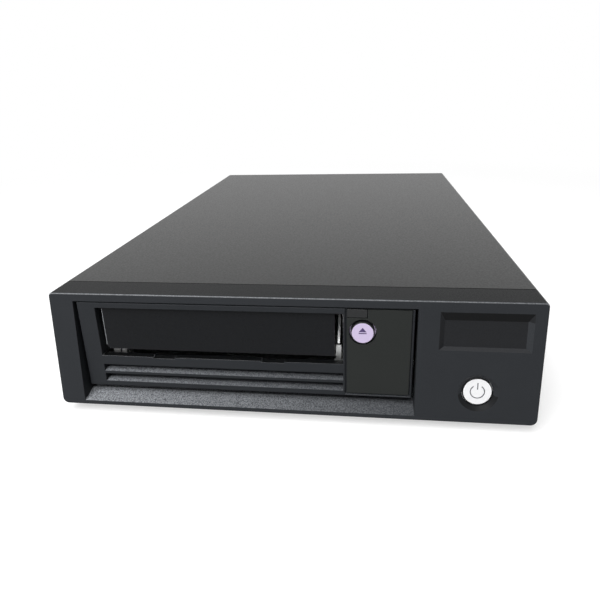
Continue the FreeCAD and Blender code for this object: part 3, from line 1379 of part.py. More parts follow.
def head_actuator():
    body = new_body("head_actuator")
    place_in_drive(body, "cartridge_x", "head_y + head_thick + fit_gap")
    half = "(head_width / 2)"
    thick = "actuator_thick"
    add(body, "XY", "floor_high", "head_low + head_height + head_travel", rectangle(
        f"-{half}", "0", half, thick))
    for sign in (-1, 1):
        arm = sorted((f"{sign} * ({half} + fit_gap)", f"{sign} * ({half} + fit_gap + sheet)"), key=value)
        add(body, "XY", "floor_high", "head_low + head_height + head_travel", rectangle(
            arm[0], "-head_thick / 2", arm[1], thick))
        link = sorted((f"{sign} * {half}", f"{sign} * ({half} + fit_gap)"), key=value)
        add(body, "XY", "floor_high", "head_low + head_height + head_travel",
            rectangle(link[0], "0", link[1], thick))


def build_all():
    front_bezel()
    power_button()
    switch_board()
    power_switch()
    top_cover()
    bottom_tray()
    rear_panel()
    cover_screws()
    rubber_feet()
    fan_frame()
    fan_rotor()
    fan_guard()
    fan_screws()
    ac_inlet()
    inlet_blades()
    inlet_screws()
    port_board()
    data_ports()
    supply_case()
    supply_board()
    drive_bezel()
    status_panel()
    status_window()
    eject_button()
    front_board()
    eject_switch()
    cartridge_door()
    drive_base()
    drive_lid()
    main_board()
    drive_brackets()
    drive_screws()
    side_plates()
    cartridge_carriage()
    loader_slider()
    loader_gear()
    loader_motor()
    reel_motor("spindle_motor", spindle_y, "spindle_motor_radius")
    drive_hub()
    reel_motor("takeup_motor", "takeup_y", "takeup_motor_radius")
    takeup_reel()
    guide_rollers()
    roller_pins()
    tape_head()
    head_actuator()


build_all()
doc.recompute()

failed = [part.Name for part in doc.Objects if {"Invalid", "Error"} & set(part.State)]
broken = [node.Label for node in nodes if node.Shape.isNull() or not node.Shape.isValid()]
if failed or broken:
    raise SystemExit(f"features that failed: {failed}; shapes that are not valid: {broken}")

os.makedirs("parts", exist_ok=True)
for node in nodes:
    node.Shape.exportStep(f"parts/{node.Label}.step")
    print(node.Label, round(node.Shape.Volume, 1), len(node.Shape.Solids))
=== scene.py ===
import json
import math
import bpy
import bmesh
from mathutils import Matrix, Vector


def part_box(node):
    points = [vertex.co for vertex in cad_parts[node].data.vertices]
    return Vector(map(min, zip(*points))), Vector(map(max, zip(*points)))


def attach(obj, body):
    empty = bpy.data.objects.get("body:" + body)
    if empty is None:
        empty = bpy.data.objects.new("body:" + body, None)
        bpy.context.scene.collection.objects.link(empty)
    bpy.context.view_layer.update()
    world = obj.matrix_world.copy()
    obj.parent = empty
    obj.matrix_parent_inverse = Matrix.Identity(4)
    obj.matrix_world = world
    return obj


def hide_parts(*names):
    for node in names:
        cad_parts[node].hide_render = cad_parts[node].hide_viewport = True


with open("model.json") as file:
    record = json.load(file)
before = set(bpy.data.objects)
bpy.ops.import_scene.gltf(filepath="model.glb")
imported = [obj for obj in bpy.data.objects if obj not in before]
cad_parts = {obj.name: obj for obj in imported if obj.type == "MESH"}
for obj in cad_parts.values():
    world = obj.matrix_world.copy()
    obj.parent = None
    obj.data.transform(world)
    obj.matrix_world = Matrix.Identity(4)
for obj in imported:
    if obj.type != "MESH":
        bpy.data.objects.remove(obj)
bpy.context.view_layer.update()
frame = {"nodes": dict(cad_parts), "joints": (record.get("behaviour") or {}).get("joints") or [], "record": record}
nodes, record = frame["nodes"], frame["record"]
bodyOf = {node: body for body, names in record["behaviour"]["bodies"].items() for node in names}
slotOf = {part["node"]: part["material_slot"] for part in record["subparts"]}
axisOf = {joint["name"]: Vector(joint["axis"]).normalized() for joint in frame["joints"]}
mm = 0.001
weld = 0.002 * mm  # points nearer than this are one
print("frame loaded:", len(nodes), "nodes")


def linearColour(hexText):
    # sRGB hex to the linear colour that a shader wants
    parts = [int(hexText[i:i + 2], 16) / 255 for i in (1, 3, 5)]
    return [p / 12.92 if p <= 0.04045 else ((p + 0.055) / 1.055) ** 2.4 for p in parts] + [1.0]


def addNode(tree, kind, values=None, **settings):
    # values: input name or index -> a plain value, an output socket, or a list of output sockets
    node = tree.nodes.new(kind)
    for name, setting in settings.items():
        setattr(node, name, setting)
    for key, value in (values or {}).items():
        sources = value if isinstance(value, list) else [value]
        if isinstance(sources[0], bpy.types.NodeSocket):
            for source in sources:
                tree.links.new(source, node.inputs[key])
        else:
            node.inputs[key].default_value = value
    return node


def emptyMaterial(name):
    material = bpy.data.materials.new(name)
    material.use_nodes = True
    material.node_tree.nodes.clear()
    return material, material.node_tree


def finishMaterial(tree, shader):
    addNode(tree, "ShaderNodeOutputMaterial", {"Surface": shader.outputs[0]})


# Zones are the places of a moulding whose colour is changed to stand in for light and shade: painted highlights,
# painted sheen and painted shade.
# X, Z: the zone's bounds in metres
# rises, falls: how much a face looks upward where the zone comes in, and where it goes again
# thins: the x where it starts to thin out, the x where that ends, and the share that is left
# low, high: the shades of its specks
driveLow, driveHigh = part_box("drive_bezel")
bezelLow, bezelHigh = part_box("front_bezel")
powerLow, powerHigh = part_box("power_button")
doorLow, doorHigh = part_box("cartridge_door")
fullWidth = (bezelLow.x - mm, bezelHigh.x + mm)
recessX = (driveHigh.x + 9.9 * mm, bezelHigh.x - 5.1 * mm)
recessZ = (bezelHigh.z - 21.2 * mm, bezelHigh.z - 4.7 * mm)
zones = {
    # floor under the drive: its upward faces painted pale, a painted sheen of the overhead light speckled by the
    # mould texture, and the painted sheen fades towards the right
    "shelf": {"X": fullWidth, "Z": (0, driveLow.z), "rises": (0.75, 0.93),
              "thins": (-0.09, 0.075, 0.1), "low": "#4c4e52", "high": "#9c9fa3"},
    # the louvres' floors: painted pale in the same way, a painted sheen that fades towards the right
    "sills": {"X": fullWidth, "Z": (driveLow.z, driveLow.z + 12 * mm), "rises": (0.75, 0.93),
              "thins": (-0.09, 0.05, 0.35), "low": "#404246", "high": "#888b8f"},
    # floor of the slot: painted nearly black, a painted shade of the slot's inside
    "slotFloor": {"X": fullWidth, "Z": (driveLow.z + 12 * mm, driveLow.z + 17 * mm),
                  "rises": (0.75, 0.93), "low": "#060708", "high": "#090a0b"},
    # its front edge: a painted highlight on the bevel, fading towards the right
    "slotLip": {"X": fullWidth, "Z": (driveLow.z + 15 * mm, driveLow.z + 16 * mm),
                "rises": (0.2, 0.4), "falls": (0.95, 0.99), "thins": (-0.09, 0.05, 0.3),
                "low": "#9a9da0", "high": "#b0b3b6"},
    # upper front edge of the bezel: a painted highlight on its rounded edge, fading towards the right
    "crown": {"X": fullWidth, "Z": (bezelHigh.z - 2.5 * mm, bezelHigh.z), "rises": (0.3, 0.5),
              "falls": (0.8, 0.92), "thins": (-0.05, 0.1, 0.6),
              "low": "#5a5c5e", "high": "#808285"},
    # the strip behind it: its upward face painted as dark as the cover, a painted shade
    "crownTop": {"X": fullWidth, "Z": (bezelHigh.z - 0.5 * mm, bezelHigh.z + mm),
                 "rises": (0.96, 0.98), "low": "#0c0d0e", "high": "#101112"},
    # the recess: painted shade darkens it and paints its downward brow black, and painted light makes its foot and
    # right wall paler
    "recess": {"X": recessX, "Z": recessZ, "low": "#1e1f21", "high": "#212224"},
    # painted light: the right wall paler
    "recessRight": {"X": (recessX[1] - 2.1 * mm, recessX[1]),
                    "Z": (recessZ[0], recessZ[1] - 3.8 * mm),
                    "low": "#2f3134", "high": "#333538"},
    # painted light: the upward-facing foot paler
    "recessFoot": {"X": recessX, "Z": recessZ, "rises": (0.5, 0.7),
                   "low": "#2a2b2d", "high": "#2e2f31"},
    # painted shade: the downward-facing brow black
    "brow": {"X": recessX, "Z": recessZ, "rises": (-0.95, -0.9), "falls": (-0.22, -0.12),
             "low": "#060708", "high": "#08090a"},
    # finger dish round the power button: its upward-facing wall painted dark, a painted shade in the hollow
    "dish": {"X": (powerLow.x - 4 * mm, powerHigh.x + 4 * mm),
             "Z": (powerLow.z - 4 * mm, powerHigh.z + 4 * mm), "rises": (0.14, 0.2),
             "low": "#131415", "high": "#17181a"},
    # left edge of the door's flap: a painted highlight along its edge; the hinge pins stand 3.9 mm out of it
    "doorEdge": {"X": (doorLow.x + 3 * mm, doorLow.x + 4.15 * mm),
                 "Z": (doorLow.z + 2 * mm, doorHigh.z - mm), "low": "#85888b", "high": "#9a9da0"},
}


def inZone(tree, zone, facing, spot):
    # 1 on the zone, 0 off it
    marks = [addNode(tree, "ShaderNodeMath", {0: spot[axis], 1: zone[axis][side]}, operation=test)
             for axis in "XZ" for side, test in enumerate(("GREATER_THAN", "LESS_THAN"))]
    for key, before, after in (("rises", 0.0, 1.0), ("falls", 1.0, 0.0)):
        if key in zone:
            marks.append(addNode(tree, "ShaderNodeMapRange", {
                "Value": facing, "From Min": zone[key][0], "From Max": zone[key][1],
                "To Min": before, "To Max": after}))
    if "thins" in zone:
        first, last, share = zone["thins"]
        marks.append(addNode(tree, "ShaderNodeMapRange", {
            "Value": spot["X"], "From Min": first, "From Max": last,
            "To Min": 1.0, "To Max": share}))
    there = marks[0].outputs[0]
    for mark in marks[1:]:
        there = addNode(tree, "ShaderNodeMath", {0: there, 1: mark.outputs[0]},
                        operation="MULTIPLY").outputs[0]
    return there


pit = {"detail": 3.0, "fineness": 0.6, "speckSpan": (0.36, 0.64), "glossSpan": (0.35, 0.65),
       "glossChange": 0.06}


def plastic(name, colour, paler, roughness, specular, grain, depth, drift=18, zoneNames=()):
    # grain is the pit's width, depth the pit's depth and drift the width of the slow shade, in mm
    material, tree = emptyMaterial(name)
    place = addNode(tree, "ShaderNodeTexCoord").outputs["Object"]
    pits = addNode(tree, "ShaderNodeTexNoise", {
        "Vector": place, "Scale": 1 / (grain * mm), "Detail": pit["detail"],
        "Roughness": pit["fineness"]}).outputs["Fac"]
    slow = addNode(tree, "ShaderNodeTexNoise", {"Vector": place, "Scale": 1 / (drift * mm)})
    shade = addNode(tree, "ShaderNodeMixRGB", {
        "Fac": slow.outputs["Fac"], "Color1": linearColour(colour),
        "Color2": linearColour(paler)}).outputs["Color"]
    facing = addNode(tree, "ShaderNodeSeparateXYZ", {
        "Vector": addNode(tree, "ShaderNodeNewGeometry").outputs["True Normal"]}).outputs["Z"]
    spot = addNode(tree, "ShaderNodeSeparateXYZ", {"Vector": place}).outputs
    specks = addNode(tree, "ShaderNodeMapRange", {
        "Value": pits, "From Min": pit["speckSpan"][0], "From Max": pit["speckSpan"][1]})
    for zone in (zones[zoneName] for zoneName in zoneNames):
        speckled = addNode(tree, "ShaderNodeMixRGB", {
            "Fac": specks.outputs["Result"], "Color1": linearColour(zone["low"]),
            "Color2": linearColour(zone["high"])})
        shade = addNode(tree, "ShaderNodeMixRGB", {
            "Fac": inZone(tree, zone, facing, spot), "Color1": shade,
            "Color2": speckled.outputs["Color"]}).outputs["Color"]
    gloss = addNode(tree, "ShaderNodeMapRange", {
        "Value": pits, "From Min": pit["glossSpan"][0], "From Max": pit["glossSpan"][1],
        "To Min": roughness - pit["glossChange"], "To Max": roughness + pit["glossChange"]})
    bump = addNode(tree, "ShaderNodeBump", {
        "Height": pits, "Strength": 1.0, "Distance": depth * mm})
    finishMaterial(tree, addNode(tree, "ShaderNodeBsdfPrincipled", {
        "Base Color": shade, "Roughness": gloss.outputs["Result"], "Normal": bump.outputs["Normal"],
        "IOR": 1.5, "Specular IOR Level": specular}))
    return material


drawn = {"detail": 3.0, "stretch": {"X": (0.02, 1, 1), "Y": (1, 0.02, 1)}, "strength": 0.5,
         "glossier": 0.08, "duller": 0.1}


def metal(name, colour, darker, roughness, line, along, depth=0.01):
    # line is the spacing of the marks in mm; along is the way they run, or None for a cast skin
    material, tree = emptyMaterial(name)
    place = addNode(tree, "ShaderNodeTexCoord").outputs["Object"]
    if along:
        place = addNode(tree, "ShaderNodeMapping", {
            "Vector": place, "Scale": drawn["stretch"][along]}).outputs["Vector"]
    marks = addNode(tree, "ShaderNodeTexNoise", {
        "Vector": place, "Scale": 1 / (line * mm), "Detail": drawn["detail"]}).outputs["Fac"]
    shade = addNode(tree, "ShaderNodeMixRGB", {
        "Fac": marks, "Color1": linearColour(colour), "Color2": linearColour(darker)})
    gloss = addNode(tree, "ShaderNodeMapRange", {
        "Value": marks, "To Min": roughness - drawn["glossier"],
        "To Max": roughness + drawn["duller"]})
    bump = addNode(tree, "ShaderNodeBump", {
        "Height": marks, "Strength": drawn["strength"], "Distance": depth * mm})
    finishMaterial(tree, addNode(tree, "ShaderNodeBsdfPrincipled", {
        "Base Color": shade.outputs["Color"], "Metallic": 1.0, "Roughness": gloss.outputs["Result"],
        "Normal": bump.outputs["Normal"]}))
    return material


# Grain and line sizes are set coarse, so that they show. None of them is measured.
materials = {
    # spark-eroded ABS: matt charcoal, whose pits break the light into specks
    "bezel_plastic": plastic(
        "sparkErodedAbs", "#27292c", "#2b2d30", roughness=0.52, specular=0.1, grain=0.6,
        depth=0.05, zoneNames=("shelf", "crown", "crownTop", "recess", "recessRight", "recessFoot",
                               "brow", "dish")),
    # the same from a second mould: a little darker and smoother
    "drive_plastic": plastic(
        "sparkErodedBlackAbs", "#25272a", "#292b2e", roughness=0.5, specular=0.1, grain=0.6,
        depth=0.05, zoneNames=("sills", "slotFloor", "slotLip")),
    # satin ABS: a slight warmth, so that the panel stands out from the bezel round it
    "panel_plastic": plastic(
        "satinAbs", "#252726", "#292b2a", roughness=0.42, specular=0.1, grain=0.3, depth=0.01,
        drift=30),
    # ABS from a polished mould: darker, and it shades off smoothly
    "door_plastic": plastic(
        "polishedAbs", "#17181a", "#1a1b1d", roughness=0.3, specular=0.07, grain=4.0, depth=0.003,
        drift=40, zoneNames=("doorEdge",)),
    # diffusing polycarbonate: a clean white with a soft shine
    "white_button": plastic(
        "whitePolycarbonate", "#f2f2f3", "#eeeef0", roughness=0.32, specular=0.4, grain=5.0,
        depth=0.002),
    # dyed polycarbonate: a pale lilac with the same soft shine
    "lilac_button": plastic(
        "lilacPolycarbonate", "#d0c2e0", "#c9bbda", roughness=0.34, specular=0.4, grain=5.0,
        depth=0.002),
    # tinted acrylic: dark and glossy, as no lamp is lit behind it
    "smoke_window": plastic(
        "smokedAcrylic", "#222324", "#252627", roughness=0.24, specular=0.2, grain=4.0,
        depth=0.001),
    # glass-filled nylon: dull black with a coarse grain
    "black_plastic": plastic(
        "glassFilledNylon", "#191a1b", "#1f2021", roughness=0.5, specular=0.4, grain=0.5,
        depth=0.02),
    # natural acetal: milky ivory that looks slippery
    "gear_plastic": plastic(
        "naturalAcetal", "#dcdacf", "#d2cfc2", roughness=0.4, specular=0.4, grain=3.0, depth=0.003),
    # filled polycarbonate: an even dark grey with a low shine
    "reel_plastic": plastic(
        "filledPolycarbonate", "#3a3b3e", "#35363a", roughness=0.38, specular=0.4, grain=3.0,
        depth=0.003),
    # powder coat baked on sheet steel: satin black with a fine orange peel
    "cover_paint": plastic(
        "blackPowderCoat", "#080909", "#0c0d0d", roughness=0.34, specular=0.2, grain=0.9,
        depth=0.02, drift=60),
    # solder mask over woven glass: green, glossy and faintly uneven
    "circuit_board": plastic(
        "solderMask", "#1c4a30", "#17402a", roughness=0.35, specular=0.5, grain=2.0, depth=0.004),
    # moulded rubber: flat black with a dry grain
    "foot_rubber": plastic(
        "mouldedRubber", "#1e1e1e", "#242424", roughness=0.75, specular=0.3, grain=0.6, depth=0.03),
    # pad-printed ink: matt grey on the white button
    "grey_ink": plastic(
        "greyInk", "#5c5c62", "#54545a", roughness=0.5, specular=0.3, grain=0.4, depth=0.002),
    # the same in violet on the lilac button
    "violet_ink": plastic(
        "violetInk", "#4d3e68", "#46385f", roughness=0.5, specular=0.3, grain=0.4, depth=0.002),
    # zinc plate on cold-rolled sheet: grey with faint draw lines
    "zinc_steel": metal(
        "zincPlatedSteel", "#b9bdbb", "#9ea3a3", roughness=0.4, line=0.4, along="Y"),
    # stainless sheet: bright, with long soft highlights
    "bright_steel": metal(
        "stainlessSheet", "#dededd", "#c6c8c8", roughness=0.46, line=0.3, along="Y"),
    # black zinc plate: dark screws that hardly catch the light
    "black_screw": metal(
        "blackZincSteel", "#2b2b2d", "#222224", roughness=0.42, line=0.2, along="X"),
    # nickel plate on turned steel: warm and bright, with sharp glints
    "screw_steel": metal(
        "nickelPlatedSteel", "#bdbdb8", "#a4a49f", roughness=0.28, line=0.2, along="X"),
    # nickel plate on brass: paler and smoother still, a shade yellow
    "contact_metal": metal(
        "nickelPlatedBrass", "#cfcabb", "#b5ae9b", roughness=0.25, line=0.2, along="Y"),
    # die-cast aluminium: a dull, slightly pebbled skin
    "cast_alloy": metal(
        "dieCastAluminium", "#a6a8a8", "#8d8f90", roughness=0.5, line=0.8, along=None, depth=0.03),
    # turned aluminium: nearly white, with tight bright streaks
    "roller_alloy": metal(
        "turnedAluminium", "#cfd0d1", "#b8babb", roughness=0.22, line=0.15, along="Y"),
    # lapped ferrite: a dark, close-grained shine
    "head_alloy": metal(
        "lappedFerrite", "#6d6e70", "#5a5b5d", roughness=0.25, line=0.2, along="X"),
}

for name, node in nodes.items():
    for slot in node.material_slots:
        slot.material = materials[slotOf[name]]
print("materials ready:", len(materials))


def mergedCopy(node):
    # the CAD solid's loose triangles as one closed skin
    shell = bmesh.new()
    shell.from_mesh(nodes[node].data)
    bmesh.ops.remove_doubles(shell, verts=shell.verts, dist=weld)
    return shell


def newPiece(name, mesh, node, finish, replaces=True):
    # a piece of its own that moves with the node's body and takes its place, or lies on it
    piece = bpy.data.objects.new(name, mesh)
    bpy.context.scene.collection.objects.link(piece)
    mesh.materials.clear()
    mesh.materials.append(materials[finish])
    if replaces:
        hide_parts(node)
    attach(piece, bodyOf[node])
    return piece


# widths in mm of the broken edges that a mould or a press leaves
brokenEdges = {
    "front_bezel": 0.25, "drive_bezel": 0.2, "status_panel": 0.12, "status_window": 0.12,
    "cartridge_door": 0.15, "power_button": 0.1, "eject_button": 0.1, "top_cover": 0.2,
    "rear_panel": 0.1, "ac_inlet": 0.2, "fan_frame": 0.2, "data_port_1": 0.1, "data_port_2": 0.1,
}
# degrees between two faces: under flat they are one, over crisp their edge stays sharp, and over
# broken it gets its bevel
turns = {"flat": 0.5, "crisp": 16, "broken": 24}
edgeLook = {"segments": 2, "flatWeight": 100, "faceShare": 0.95}


def refinedCopy(node, width):
    shell = mergedCopy(node)
    bmesh.ops.dissolve_limit(shell, angle_limit=math.radians(turns["flat"]), verts=shell.verts,
                             edges=shell.edges)
    mesh = bpy.data.meshes.new(node + "_finished")
    shell.to_mesh(mesh)
    shell.free()
    mesh.shade_smooth()
    mesh.set_sharp_from_angle(angle=math.radians(turns["crisp"]))
    piece = newPiece(node + "_finished", mesh, node, slotOf[node])
    bevel = piece.modifiers.new("broken edges", "BEVEL")
    bevel.width = width * mm
    bevel.segments = edgeLook["segments"]
    bevel.limit_method = "ANGLE"
    bevel.angle_limit = math.radians(turns["broken"])
    even = piece.modifiers.new("flat faces", "WEIGHTED_NORMAL")  # broad faces keep their shading
    even.weight = edgeLook["flatWeight"]
    even.keep_sharp = True
    return piece


def paintedShadeSkirt(piece, outward):
    # all but the button's own face is painted black, a painted shade of the hole round the button
    piece.data.materials.append(materials["black_plastic"])
    for face in piece.data.polygons:
        face.material_index = int(face.normal.dot(outward) < edgeLook["faceShare"])


refined = {node: refinedCopy(node, width) for node, width in brokenEdges.items()}
paintedShadeSkirt(refined["power_button"], -axisOf["power_press"])
paintedShadeSkirt(refined["eject_button"], -axisOf["eject_press"])
print("refined pieces:", len(refined))


def newTree(name, inputs):
    # inputs: label -> starting value, whose type gives the kind of socket
    kinds = {float: "Float", int: "Int", tuple: "Vector", bpy.types.Material: "Material"}
    tree = bpy.data.node_groups.new(name, "GeometryNodeTree")
    tree.interface.new_socket("Geometry", in_out="INPUT", socket_type="NodeSocketGeometry")
    for label, value in inputs.items():
        socket = tree.interface.new_socket(
            label, in_out="INPUT", socket_type="NodeSocket" + kinds[type(value)])
        socket.default_value = value
    tree.interface.new_socket("Geometry", in_out="OUTPUT", socket_type="NodeSocketGeometry")
    return tree, addNode(tree, "NodeGroupInput").outputs


def endTree(tree, given, geometry):
    whole = addNode(tree, "GeometryNodeRealizeInstances", {"Geometry": geometry})
    coated = addNode(tree, "GeometryNodeSetMaterial", {
        "Geometry": whole.outputs["Geometry"], "Material": given["Finish"]})
    addNode(tree, "NodeGroupOutput", {"Geometry": coated.outputs["Geometry"]})


def grown(name, tree, spots, inputs, node, finish):
    # runs the tree on the spots and keeps what it makes as a plain mesh
    start = bpy.data.meshes.new(name + "_spots")
    start.from_pydata(spots, [], [])
    maker = bpy.data.objects.new(name + "_maker", start)
    bpy.context.scene.collection.objects.link(maker)
    modifier = maker.modifiers.new(tree.name, "NODES")
    modifier.node_group = tree
    given = dict(inputs, Finish=materials[finish])
    for socket in tree.interface.items_tree:
        if socket.in_out == "INPUT" and socket.name in given:
            modifier[socket.identifier] = given[socket.name]
    seen = maker.evaluated_get(bpy.context.evaluated_depsgraph_get())
    mesh = bpy.data.meshes.new_from_object(seen)
    maker.modifiers.remove(modifier)
    bpy.data.objects.remove(maker)
    newPiece(name, mesh, node, finish)


# sizes in mm
screw = {"Head Radius": 2.8, "Head Height": 1.7, "Shank Radius": 1.5, "Shank Length": 3.6,
         "Cross Width": 0.75, "Cross Reach": 1.75, "Cross Depth": 1.1}
screwMesh = {"headSides": 36, "headRows": 7, "shankSides": 24, "drawIn": 0.26, "power": 3.0}
screwInputs = {label: size * mm for label, size in screw.items()}
screwInputs["Seed"] = 7
# the way that each set's tips point
screwTips = {
    "cover_screws": (0, 0, 1), "fan_screws": (0, -1, 0), "inlet_screws": (0, -1, 0),
    "drive_screws_left": (1, 0, 0), "drive_screws_right": (-1, 0, 0),
}


def screwTree():
    tree, given = newTree("crossHeadScrew", dict(
        screwInputs, Turn=(0.0, 0.0, 0.0), Finish=materials["screw_steel"]))
    blank = addNode(tree, "GeometryNodeMeshCylinder", {
        "Vertices": screwMesh["headSides"], "Side Segments": screwMesh["headRows"],
        "Radius": given["Head Radius"], "Depth": given["Head Height"]})
    half = addNode(tree, "ShaderNodeMath", {0: given["Head Height"], 1: 0.5}, operation="MULTIPLY")
    lift = addNode(tree, "ShaderNodeCombineXYZ", {"Z": half.outputs[0]})
    seated = addNode(tree, "GeometryNodeTransform", {
        "Geometry": blank.outputs["Mesh"], "Translation": lift.outputs[0]})
    # the pan: the radius draws in towards the top
    spot = addNode(tree, "ShaderNodeSeparateXYZ", {
        "Vector": addNode(tree, "GeometryNodeInputPosition").outputs[0]}).outputs
    share = addNode(tree, "ShaderNodeMath", {
        0: spot["Z"], 1: given["Head Height"]}, operation="DIVIDE")
    raised = addNode(tree, "ShaderNodeMath", {
        0: share.outputs[0], 1: screwMesh["power"]}, operation="POWER")
    draw = addNode(tree, "ShaderNodeMath", {
        0: raised.outputs[0], 1: -screwMesh["drawIn"], 2: 1.0}, operation="MULTIPLY_ADD")
    drawnX, drawnY = [addNode(tree, "ShaderNodeMath", {
        0: spot[axis], 1: draw.outputs[0]}, operation="MULTIPLY").outputs[0] for axis in "XY"]
    shape = addNode(tree, "ShaderNodeCombineXYZ", {"X": drawnX, "Y": drawnY, "Z": spot["Z"]})
    pan = addNode(tree, "GeometryNodeSetPosition", {
        "Geometry": seated.outputs["Geometry"], "Position": shape.outputs[0]})
    # the cross: two bars sunk from the top
    deep, long = [addNode(tree, "ShaderNodeMath", {
        0: given[label], 1: 2.0}, operation="MULTIPLY").outputs[0]
        for label in ("Cross Depth", "Cross Reach")]
    top = addNode(tree, "ShaderNodeCombineXYZ", {"Z": given["Head Height"]})
    bars = []
    for x, y in ((long, given["Cross Width"]), (given["Cross Width"], long)):
        size = addNode(tree, "ShaderNodeCombineXYZ", {"X": x, "Y": y, "Z": deep})
        bar = addNode(tree, "GeometryNodeMeshCube", {"Size": size.outputs[0]})
        bars.append(addNode(tree, "GeometryNodeTransform", {
            "Geometry": bar.outputs["Mesh"], "Translation": top.outputs[0]}).outputs["Geometry"])
    head = addNode(tree, "GeometryNodeMeshBoolean", {
        0: pan.outputs["Geometry"], 1: bars}, operation="DIFFERENCE")
    rod = addNode(tree, "GeometryNodeMeshCylinder", {
        "Vertices": screwMesh["shankSides"], "Radius": given["Shank Radius"],
        "Depth": given["Shank Length"]})
    down = addNode(tree, "ShaderNodeMath", {
        0: given["Shank Length"], 1: -0.5}, operation="MULTIPLY")
    sunk = addNode(tree, "ShaderNodeCombineXYZ", {"Z": down.outputs[0]})
    shank = addNode(tree, "GeometryNodeTransform", {
        "Geometry": rod.outputs["Mesh"], "Translation": sunk.outputs[0]})
    whole = addNode(tree, "GeometryNodeJoinGeometry", {
        0: [head.outputs["Mesh"], shank.outputs["Geometry"]]})
    placed = addNode(tree, "GeometryNodeInstanceOnPoints", {
        "Points": given["Geometry"], "Instance": whole.outputs["Geometry"],
        "Rotation": given["Turn"]})
    # each is driven home to its own angle
    angle = addNode(tree, "FunctionNodeRandomValue", {
        2: 0.0, 3: math.pi / 2, "Seed": given["Seed"]}, data_type="FLOAT")
    twist = addNode(tree, "ShaderNodeCombineXYZ", {"Z": angle.outputs[1]})
    turned = addNode(tree, "GeometryNodeRotateInstances", {
        "Instances": placed.outputs["Instances"], "Rotation": twist.outputs[0],
        "Local Space": True})
    endTree(tree, given, turned.outputs["Instances"])
    return tree


def seats(node, tips):
    # where each screw's head sits, from the screw's own box
    shell = mergedCopy(node)
    left, found = set(shell.verts), []
    for first in shell.verts:
        if first not in left:
            continue
        left.remove(first)
        group, edge = set(), [first]
        while edge:
            vertex = edge.pop()
            group.add(vertex)
            for link in vertex.link_edges:
                other = link.other_vert(vertex)
                if other in left:
                    left.remove(other)
                    edge.append(other)
        low = Vector([min(v.co[i] for v in group) for i in range(3)])
        high = Vector([max(v.co[i] for v in group) for i in range(3)])
        reach = abs((high - low).dot(tips))
        found.append((low + high) / 2 + tips * (screwInputs["Head Height"] - reach / 2))
    shell.free()
    return found


crossHead = screwTree()
for node, tips in screwTips.items():
    tips = Vector(tips)
    turn = (-tips).to_track_quat("Z", "Y").to_euler()
    grown(node + "_cross_head", crossHead, seats(node, tips), dict(screwInputs, Turn=tuple(turn)),
          node, "black_screw" if node.startswith("drive") else "screw_steel")
print("screws:", len(screwTips), "sets")


# sizes in mm; the four eyes stand on a square of 32 mm
guard = {"Ring Step": 4.75, "Wire Radius": 0.7, "Eye Distance": 32 / math.sqrt(2),
         "Eye Radius": 2.35}
# the spokes rise by riseBy wire radii over the rings, and bend down over bendBy
guardMesh = {"ringSides": 72, "eyeSides": 32, "wireSides": 10, "spokePoints": 60, "arms": 4,
             "riseBy": 1.6, "bendBy": 1.7}
guardInputs = {label: size * mm for label, size in guard.items()}
guardInputs.update(Rings=4, Turn=(-math.pi / 2, 0.0, 0.0))


